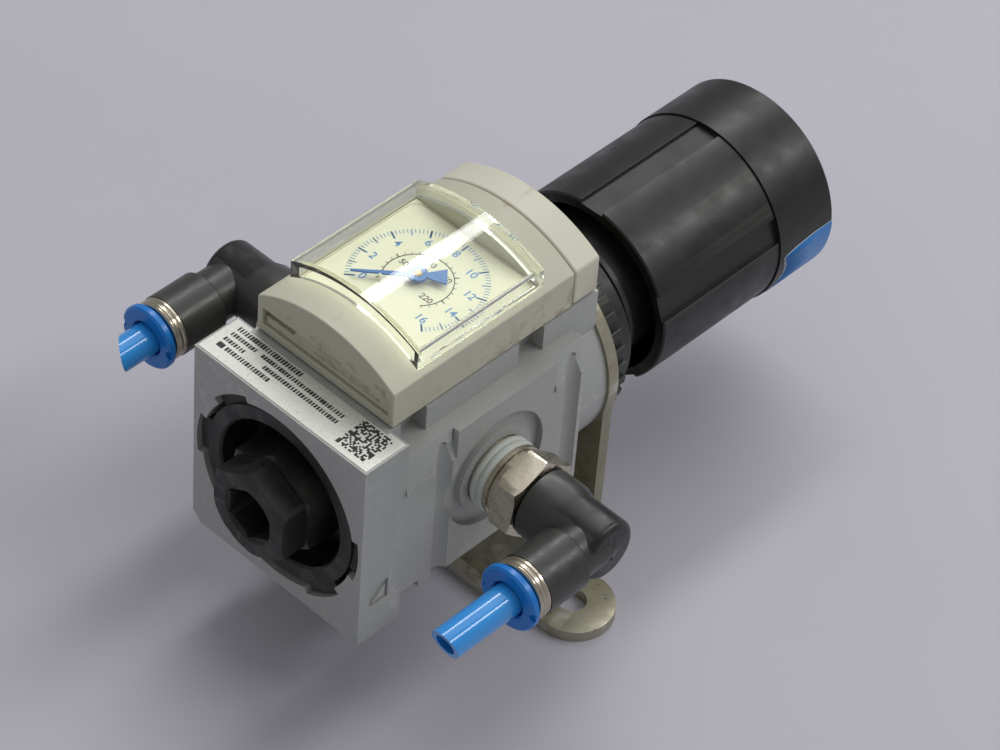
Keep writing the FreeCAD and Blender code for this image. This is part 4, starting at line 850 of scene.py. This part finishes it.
for side in (-1, 1):
    near_end, far_end = sorted((side * 27.6, side * 29.6))
    slot_outline = arc(2.6, -90, 90, 16, (far_end, EAR_AT[1])) + arc(2.6, 90, 270, 16, (near_end, EAR_AT[1]))
    slots.append(prism(slot_outline, floor - 1, floor + THICK + 1, "z"))
cut(angle_iron, slots + [bar(15.3, ring_far - THICK - 1, ring_far + 1, steps=128)])
softened(angle_iron, 0.4, 3)
finished(angle_iron, "bracket_skin", zinc_steel, "housing", "bracket", slot="zinc_steel")

# ---- lock nut -----------------------------------------------------------------------------
# Black nut on the bonnet's neck thread, with ribs for the fingers round its
# thicker part; it clamps the bracket against the casting.
satin_black = material("satin_black", srgb(26, 27, 25), 0.42)
mottled(satin_black, srgb(50, 51, 45), (8.0, 5.0, 0.6), 0.48, 0.75, 0.5)
worn_edges(satin_black, srgb(76, 76, 70), 0.52, 0.6, 0.4)
roughened(satin_black, (3.0, 4.0), 0.34, 0.52)
raised(satin_black, grain(satin_black, 0.35, 3.0), 0.012)
nut_near, nut_far = span("lock_nut")[1]
NUT = span("lock_nut")[0][1]
RIB_END = nut_near + 3.4
nut = turned([(15.05, nut_near), (NUT - 0.75, nut_near), (NUT - 0.75, RIB_END), (NUT - 2.0, RIB_END + 0.6),
              (NUT - 2.4, nut_far), (15.05, nut_far)], 144)
softened(nut, 0.2, 2)
rib_ring = grown(ring_tree, satin_black, Count=36, First=5.0, Turn=10.0, Reach=NUT, Long=1.1, Wide=1.7,
                 Thick=RIB_END - nut_near - 0.1)
softened(rib_ring, 0.25, 2)
rib_ring.data.transform(Matrix.Rotation(math.radians(90), 4, "X"))
moved(rib_ring, 0, (nut_near + RIB_END) / 2)
finished(joined([nut, rib_ring]), "lock_nut_skin", satin_black, "housing", "lock_nut", slot="black_plastic")

# ---- bonnet ---------------------------------------------------------------------------------
# Black plastic spring housing screwed to the casting: flange, threaded neck for
# the lock nut, and a long sleeve that runs up inside the knob.
bonnet_near, bonnet_far = span("bonnet")[1]
FLANGE = span("bonnet")[0][1]
NECK = 15.0
neck_end = BODY_END + 12.6
profile = [(12.6, bonnet_near), (FLANGE, bonnet_near), (FLANGE, BODY_END), (NECK - 0.6, BODY_END)]
pitch = 1.5
for turn_number in range(8):
    at = BODY_END + 0.2 + turn_number * pitch
    profile += [(NECK - 0.6, at), (NECK, at + 0.5), (NECK, at + 0.75), (NECK - 0.6, at + 1.25)]
profile += [(NECK - 0.6, neck_end), (13.2, neck_end), (13.2, bonnet_far), (4.95, bonnet_far),
            (4.95, bonnet_far - 2.1), (11.2, bonnet_far - 2.1), (11.2, BODY_END), (12.6, BODY_END)]
bonnet = turned(profile, 128)
keys = [block((middle - 0.85, middle + 0.85), (neck_end, bonnet_far - 2.0), (-1.0, 1.0))
        for middle in (-10.85, 10.85)]
together(bonnet, keys)
softened(bonnet, 0.12, 2)
finished(bonnet, "bonnet_skin", satin_black, "housing", "bonnet", slot="black_plastic")

# ---- knob -----------------------------------------------------------------------------------
# Satin black cup turned by hand to set the pressure, pulled up to turn and
# pushed down to lock. Five shallow flutes run up to a step below its top band.
knob_black = material("knob_black", srgb(20, 21, 18), 0.42)
mottled(knob_black, srgb(36, 38, 31), (14.0, 5.0, 0.6, (1, 0.5, 1)), 0.45, 0.75, 0.5)
mottled(knob_black, srgb(62, 62, 54), (1.6, 5.0, 0.75, (1, 0.3, 1)), 0.68, 0.76, 0.22)
worn_edges(knob_black, srgb(72, 72, 66), 0.52, 0.6, 0.4)
roughened(knob_black, (4.0, 5.0), 0.33, 0.5)
raised(knob_black, grain(knob_black, 0.35, 3.0), 0.015)
knob_near, knob_far = span("knob")[1]
KNOB = 18.5
BAND = 18.8
BORE = 16.4
KNOB_STEP = knob_far - 14.5
CAP = 15.4
knob_floor = 112.0
hub_near = bonnet_far + 3.0
knob = turned([(BORE, knob_near), (KNOB - 0.3, knob_near), (KNOB, knob_near + 0.3), (KNOB, KNOB_STEP - 0.25),
               (KNOB - 0.15, KNOB_STEP - 0.2), (KNOB - 0.15, KNOB_STEP), (BAND, KNOB_STEP),
               (BAND, knob_far - 0.8), (BAND - 0.8, knob_far), (CAP + 0.1, knob_far),
               (CAP + 0.1, knob_far - 2.0), (0, knob_far - 2.0),
               (0, hub_near), (7.5, hub_near), (7.5, knob_floor), (BORE, knob_floor)], 160)
flutes = []
for number in range(5):
    flute = block((17.7, 21.0), (knob_near - 1, KNOB_STEP), (-2.5, 2.5))
    flute.data.transform(Matrix.Rotation(-math.radians(20 + 72 * number), 4, "Y"))
    flutes.append(flute)
cut(knob, flutes + [prism(arc(8.2 / math.sqrt(3), 0, 300, 5), hub_near - 1, bonnet_far + 12.5)])
softened(knob, 0.3, 3)
finished(knob, "knob_skin", knob_black, "knob", "knob", slot="black_plastic")

# ---- knob cap -------------------------------------------------------------------------------
# Flat disc pressed into the knob's top, with a shallow ring turned in its face.
cap_near, cap_far = span("knob_cap")[1]
cap = turned([(0, cap_near), (CAP, cap_near), (CAP, cap_far - 0.3), (CAP - 0.3, cap_far), (11.2, cap_far),
              (11.0, cap_far - 0.25), (10.4, cap_far - 0.25), (10.2, cap_far), (0, cap_far)], 128)
softened(cap, 0.12, 2)
finished(cap, "knob_cap_skin", knob_black, "knob", "knob_cap", slot="black_plastic")

# ---- knob label -----------------------------------------------------------------------------
# What is left of a blue printed film wrapped round the knob's top band: its
# lower edge is torn and shows the white base of the film.
film_blue = material("film_blue", srgb(30, 116, 190), 0.38)
mottled(film_blue, srgb(62, 140, 202), (6.0, 4.0), 0.45, 0.75, 0.5)
film_base = material("film_base", srgb(196, 208, 214), 0.6)
mottled(film_base, srgb(150, 176, 196), (1.0, 3.0), 0.4, 0.7, 0.5)
label_box = span("knob_label")
FILM_FIRST = 4.0
FILM_TURN = 76.0
film_rng = random.Random(7)
tears = {0: 8.0, 1: 3.6, 2: 1.2, 3: 0.6, 10: 1.4, 17: 0.9, 24: 0.2, 32: 1.8, 40: 0.6, 51: 2.4}


def torn_film(name, paint, inset, proud, lower):
    """A strip on the knob's band; lower adds to how far its torn edge stands in."""
    steps = 51
    low_edge, high_edge = [], []
    marks = sorted(tears)
    for i in range(steps + 1):
        before = max(m for m in marks if m <= i)
        after = min(m for m in marks if m >= i)
        share_of = 0 if after == before else (i - before) / (after - before)
        torn = tears[before] + (tears[after] - tears[before]) * share_of
        near = label_box[1][0] + max(0.0, torn) + lower + film_rng.uniform(-0.18, 0.18)
        swing_angle = -math.radians(-FILM_FIRST + inset + (FILM_TURN - 2 * inset) * i / steps)
        low_edge.append((swing_angle, max(near, label_box[1][0])))
        high_edge.append((swing_angle, label_box[1][1] - inset * 0.2))
    vertices, faces = [], []
    for radius in (BAND - 0.05, BAND + proud):
        for edge in (low_edge, high_edge):
            vertices += [(radius * math.cos(a), y, radius * math.sin(a)) for a, y in edge]
    row = steps + 1
    for i in range(steps):
        a, b, c, d = i, i + 1, row + i + 1, row + i
        faces += [(a, b, c, d), (a + 2 * row, b + 2 * row, c + 2 * row, d + 2 * row),
                  (a, b, b + 2 * row, a + 2 * row), (d, c, c + 2 * row, d + 2 * row)]
    for i in (0, steps):
        faces.append((i, row + i, row + i + 2 * row, i + 2 * row))
    strip = new_piece(name, vertices, faces)
    for face in strip.data.polygons:
        face.use_smooth = abs(face.normal.y) < 0.5
    return strip


finished(torn_film("under", film_base, 0.0, 0.06, 0.0), "knob_label_base", film_base, "knob", "knob_label",
         slot="blue_label")
finished(torn_film("over", film_blue, 0.25, 0.115, 0.35), "knob_label_film", film_blue, "knob",
         slot="blue_label")

# ---- fittings -------------------------------------------------------------------------------
# A push-in elbow in each port: nickelled brass stem with a hexagon and a white
# coated thread, black plastic elbow that swivels on it, nickelled collar, blue
# release ring, and a stub of blue tube.
nickel_plate = material("nickel_plate", srgb(196, 188, 170), 0.2, 1.0)
mottled(nickel_plate, srgb(168, 156, 134), (2.5, 4.0, 0.6), 0.45, 0.7, 0.5)
worn_edges(nickel_plate, srgb(224, 218, 204), 0.52, 0.58, 0.6)
roughened(nickel_plate, (1.2, 4.0), 0.16, 0.34)
thread_white = material("thread_white", srgb(194, 198, 190), 0.55)
mottled(thread_white, srgb(186, 190, 178), (1.2, 4.0), 0.45, 0.7, 0.6)
raised(thread_white, grain(thread_white, 0.5, 3.0), 0.05)
elbow_black = material("elbow_black", srgb(22, 23, 22), 0.36)
mottled(elbow_black, srgb(52, 53, 50), (4.0, 5.0, 0.6), 0.48, 0.75, 0.45)
worn_edges(elbow_black, srgb(84, 85, 82), 0.52, 0.6, 0.35)
roughened(elbow_black, (2.0, 4.0), 0.28, 0.46)
ring_blue = material("ring_blue", srgb(14, 118, 204), 0.3)
mottled(ring_blue, srgb(40, 130, 204), (1.6, 3.0), 0.45, 0.75, 0.4)
tube_blue = material("tube_blue", srgb(44, 146, 226), 0.14, Coat_Weight=0.5, Coat_Roughness=0.06)
mottled(tube_blue, srgb(72, 164, 232), (3.0, 3.0, 0.5, (1, 0.3, 1)), 0.45, 0.7, 0.4)

ELBOW_AT = 21.8
POST = 5.8
NECK_END = 6.0
OUTLET_END = 15.2
LEFT_IS_LONGER = 2.4


def swung(item, side):
    """From the fitting's own frame, stem along +X and outlet along -Y, to its port."""
    if side == "left":
        item.data.transform(Matrix.Rotation(math.pi, 4, "Y"))
    port_face = HALF if side == "right" else -HALF
    return moved(item, port_face, PORT_Y)


def at_elbow(item):
    """Move a piece of the outlet from the fitting's own origin to the elbow's centre."""
    item.data.transform(Matrix.Rotation(math.pi, 4, "Z"))
    return moved(item, ELBOW_AT)


def fitted(item, node, side, paint, body, slot):
    """Finish a piece of a fitting, drawn in the fitting's own frame, and put it in its port."""
    finished(swung(item, side), "%s_%s_skin" % (node, side), paint, body, node + "_" + side, slot=slot)


for side in ("right", "left"):
    stem = turned([(2.1, -8.3), (6.5, -8.3), (6.5, 3.2), (6.7, 3.3), (6.7, 4.1), (6.3, 4.3), (6.3, 4.6),
                   (6.7, 4.8), (6.7, 5.5), (6.2, 5.6), (6.2, 6.1), (4.0, 6.1), (4.0, 14.0),
                   (3.0, 14.0), (3.0, 15.2), (4.0, 15.2), (4.0, 16.4), (2.1, 16.4)], 96, "x")
    nut_shape = eased_hexagon(14.0, 5.6, 10.3, 0.75, "x", 20.0, both=True)
    together(stem, [cut(nut_shape, [bar(3.9, 5.0, 11.0, "x", steps=48)])])
    softened(stem, 0.12, 2)
    fitted(stem, "fitting_stem", side, nickel_plate, "housing", "nickel")

    coat = [(6.5, 0.4)]
    for crest in (0.5, 1.8):
        coat += [(6.6, crest), (6.9, crest + 0.25), (6.9, crest + 0.75), (6.6, crest + 1.05)]
    coat_ring = turned(coat + [(6.5, 3.15)], 96, "x")
    softened(coat_ring, 0.1, 2)
    fitted(coat_ring, "thread_coat", side, thread_white, "housing", "white_coat")

    further = LEFT_IS_LONGER if side == "left" else 0.0
    barrel = turned([(0, 10.4), (6.1, 10.4), (6.5, 10.8), (6.5, 15.6), (POST, 17.8)]
                    + arc(1.4, 0, 90, 6, (POST - 1.4, 24.8)) + [(0, 26.2)], 96, "x")
    knee_steps = [(4.9 * math.sin(math.radians(a)), ELBOW_AT - 4.9 * math.cos(math.radians(a)))
                  for a in range(0, 181, 9)]
    knee = turned(knee_steps, 96, "x")
    arm = at_elbow(turned([(0, 0), (4.9, 0), (4.9, NECK_END + further), (5.4, NECK_END + further),
                           (POST, NECK_END + further + 0.4), (POST, OUTLET_END + further),
                           (0, OUTLET_END + further)], 96))
    together(barrel, [knee, arm])
    post_room = turned([(0, 9), (4.05, 9), (4.05, 16.5), (2.1, 16.5), (2.1, ELBOW_AT), (0, ELBOW_AT)],
                       48, "x")
    tube_room = at_elbow(turned([(0, -1.5), (2.1, -1.5), (2.1, 6.6 + further), (3.05, 6.6 + further),
                                 (3.05, 7.6 + further), (4.6, 7.6 + further), (4.6, 16.5 + further),
                                 (0, 16.5 + further)], 48))
    pin_hole = turned([(0, 3.2), (0.5, 3.2), (0.5, 7.0), (0, 7.0)], 24, "x")
    pin_hole.data.transform(Matrix.Rotation(math.radians(14.0), 4, "Y"))
    moved(pin_hole, ELBOW_AT)
    cut(barrel, [post_room, tube_room, pin_hole])
    softened(barrel, 0.3, 3, 25)
    fitted(barrel, "elbow", side, elbow_black, "elbow_" + side, "black_plastic")

    collar_outline = [(4.6, 0), (5.65, 0), (5.65, 0.55), (5.45, 0.75), (5.45, 0.9), (5.65, 1.1), (5.65, 1.5),
                      (5.45, 1.65), (5.45, 1.8), (5.65, 1.9), (5.4, 2.3), (4.6, 2.3)]
    collar_start = OUTLET_END + further
    collar = at_elbow(turned([(radius, collar_start + along) for radius, along in collar_outline], 96))
    softened(collar, 0.06, 2)
    fitted(collar, "collar_ring", side, nickel_plate, "elbow_" + side, "nickel")

    release_outline = [(3.3, 11.6), (4.2, 11.6), (4.2, 18.4), (6.1, 18.4), (6.1, 19.4), (5.7, 19.8),
                       (3.6, 19.8), (3.3, 19.5)]
    release = turned([(radius, along + further) for radius, along in release_outline], 96)
    cut(release, [bar(0.9, 19.2 + further, 21.0 + further, "y", (x, 0), 24) for x in (-5.9, 5.9)])
    softened(at_elbow(release), 0.15, 2)
    fitted(release, "release_ring", side, ring_blue, "release_" + side, "blue_plastic")

    reach = PORT_Y - span("tube_" + side)[1][0]
    slope, long_x, long_z = {"right": (15.0, 0.0, 1.0), "left": (42.0, 0.93, -0.37)}[side]
    rise = math.tan(math.radians(slope))
    tube = turned([(2.0, 6.7 + further), (3.0, 6.7 + further), (3.0, reach), (2.0, reach)], 96)
    sloping = block((-8, 8), (0, 12), (-8, 8))
    lean = Matrix(((1, 0, 0, 0), (rise * long_x, 1, rise * long_z, 0), (0, 0, 1, 0), (0, 0, 0, 1)))
    sloping.data.transform(lean)
    moved(sloping, 0, reach - 3.0 * rise)
    cut(tube, [sloping])
    softened(at_elbow(tube), 0.12, 2)
    fitted(tube, "tube", side, tube_blue, "elbow_" + side, "blue_plastic")

# ---- inner works ------------------------------------------------------------------------------
# Valve, diaphragm, springs, screw and gauge works keep their modelled shapes;
# each is given the finish of what it is made of.
dark_rubber = material("dark_rubber", srgb(24, 24, 25), 0.7)
mottled(dark_rubber, srgb(46, 46, 46), (2.0, 4.0), 0.45, 0.75, 0.5)
turned_brass = material("turned_brass", srgb(196, 166, 104), 0.32, 1.0)
mottled(turned_brass, srgb(166, 134, 78), (2.0, 4.0), 0.4, 0.7, 0.5)
spring_steel = material("spring_steel", srgb(150, 150, 148), 0.34, 1.0)
mottled(spring_steel, srgb(112, 110, 106), (2.0, 4.0), 0.4, 0.7, 0.5)
finish_of = {"rubber": dark_rubber, "brass": turned_brass, "spring_steel": spring_steel,
             "zinc_steel": zinc_steel, "cast_body": cast_paint}
for row in frame["record"]["subparts"]:
    item = frame["nodes"][row["node"]]
    slot_name = row["material_slot"]
    if slot_name in finish_of:
        item.data.materials.clear()
        item.data.materials.append(finish_of[slot_name])
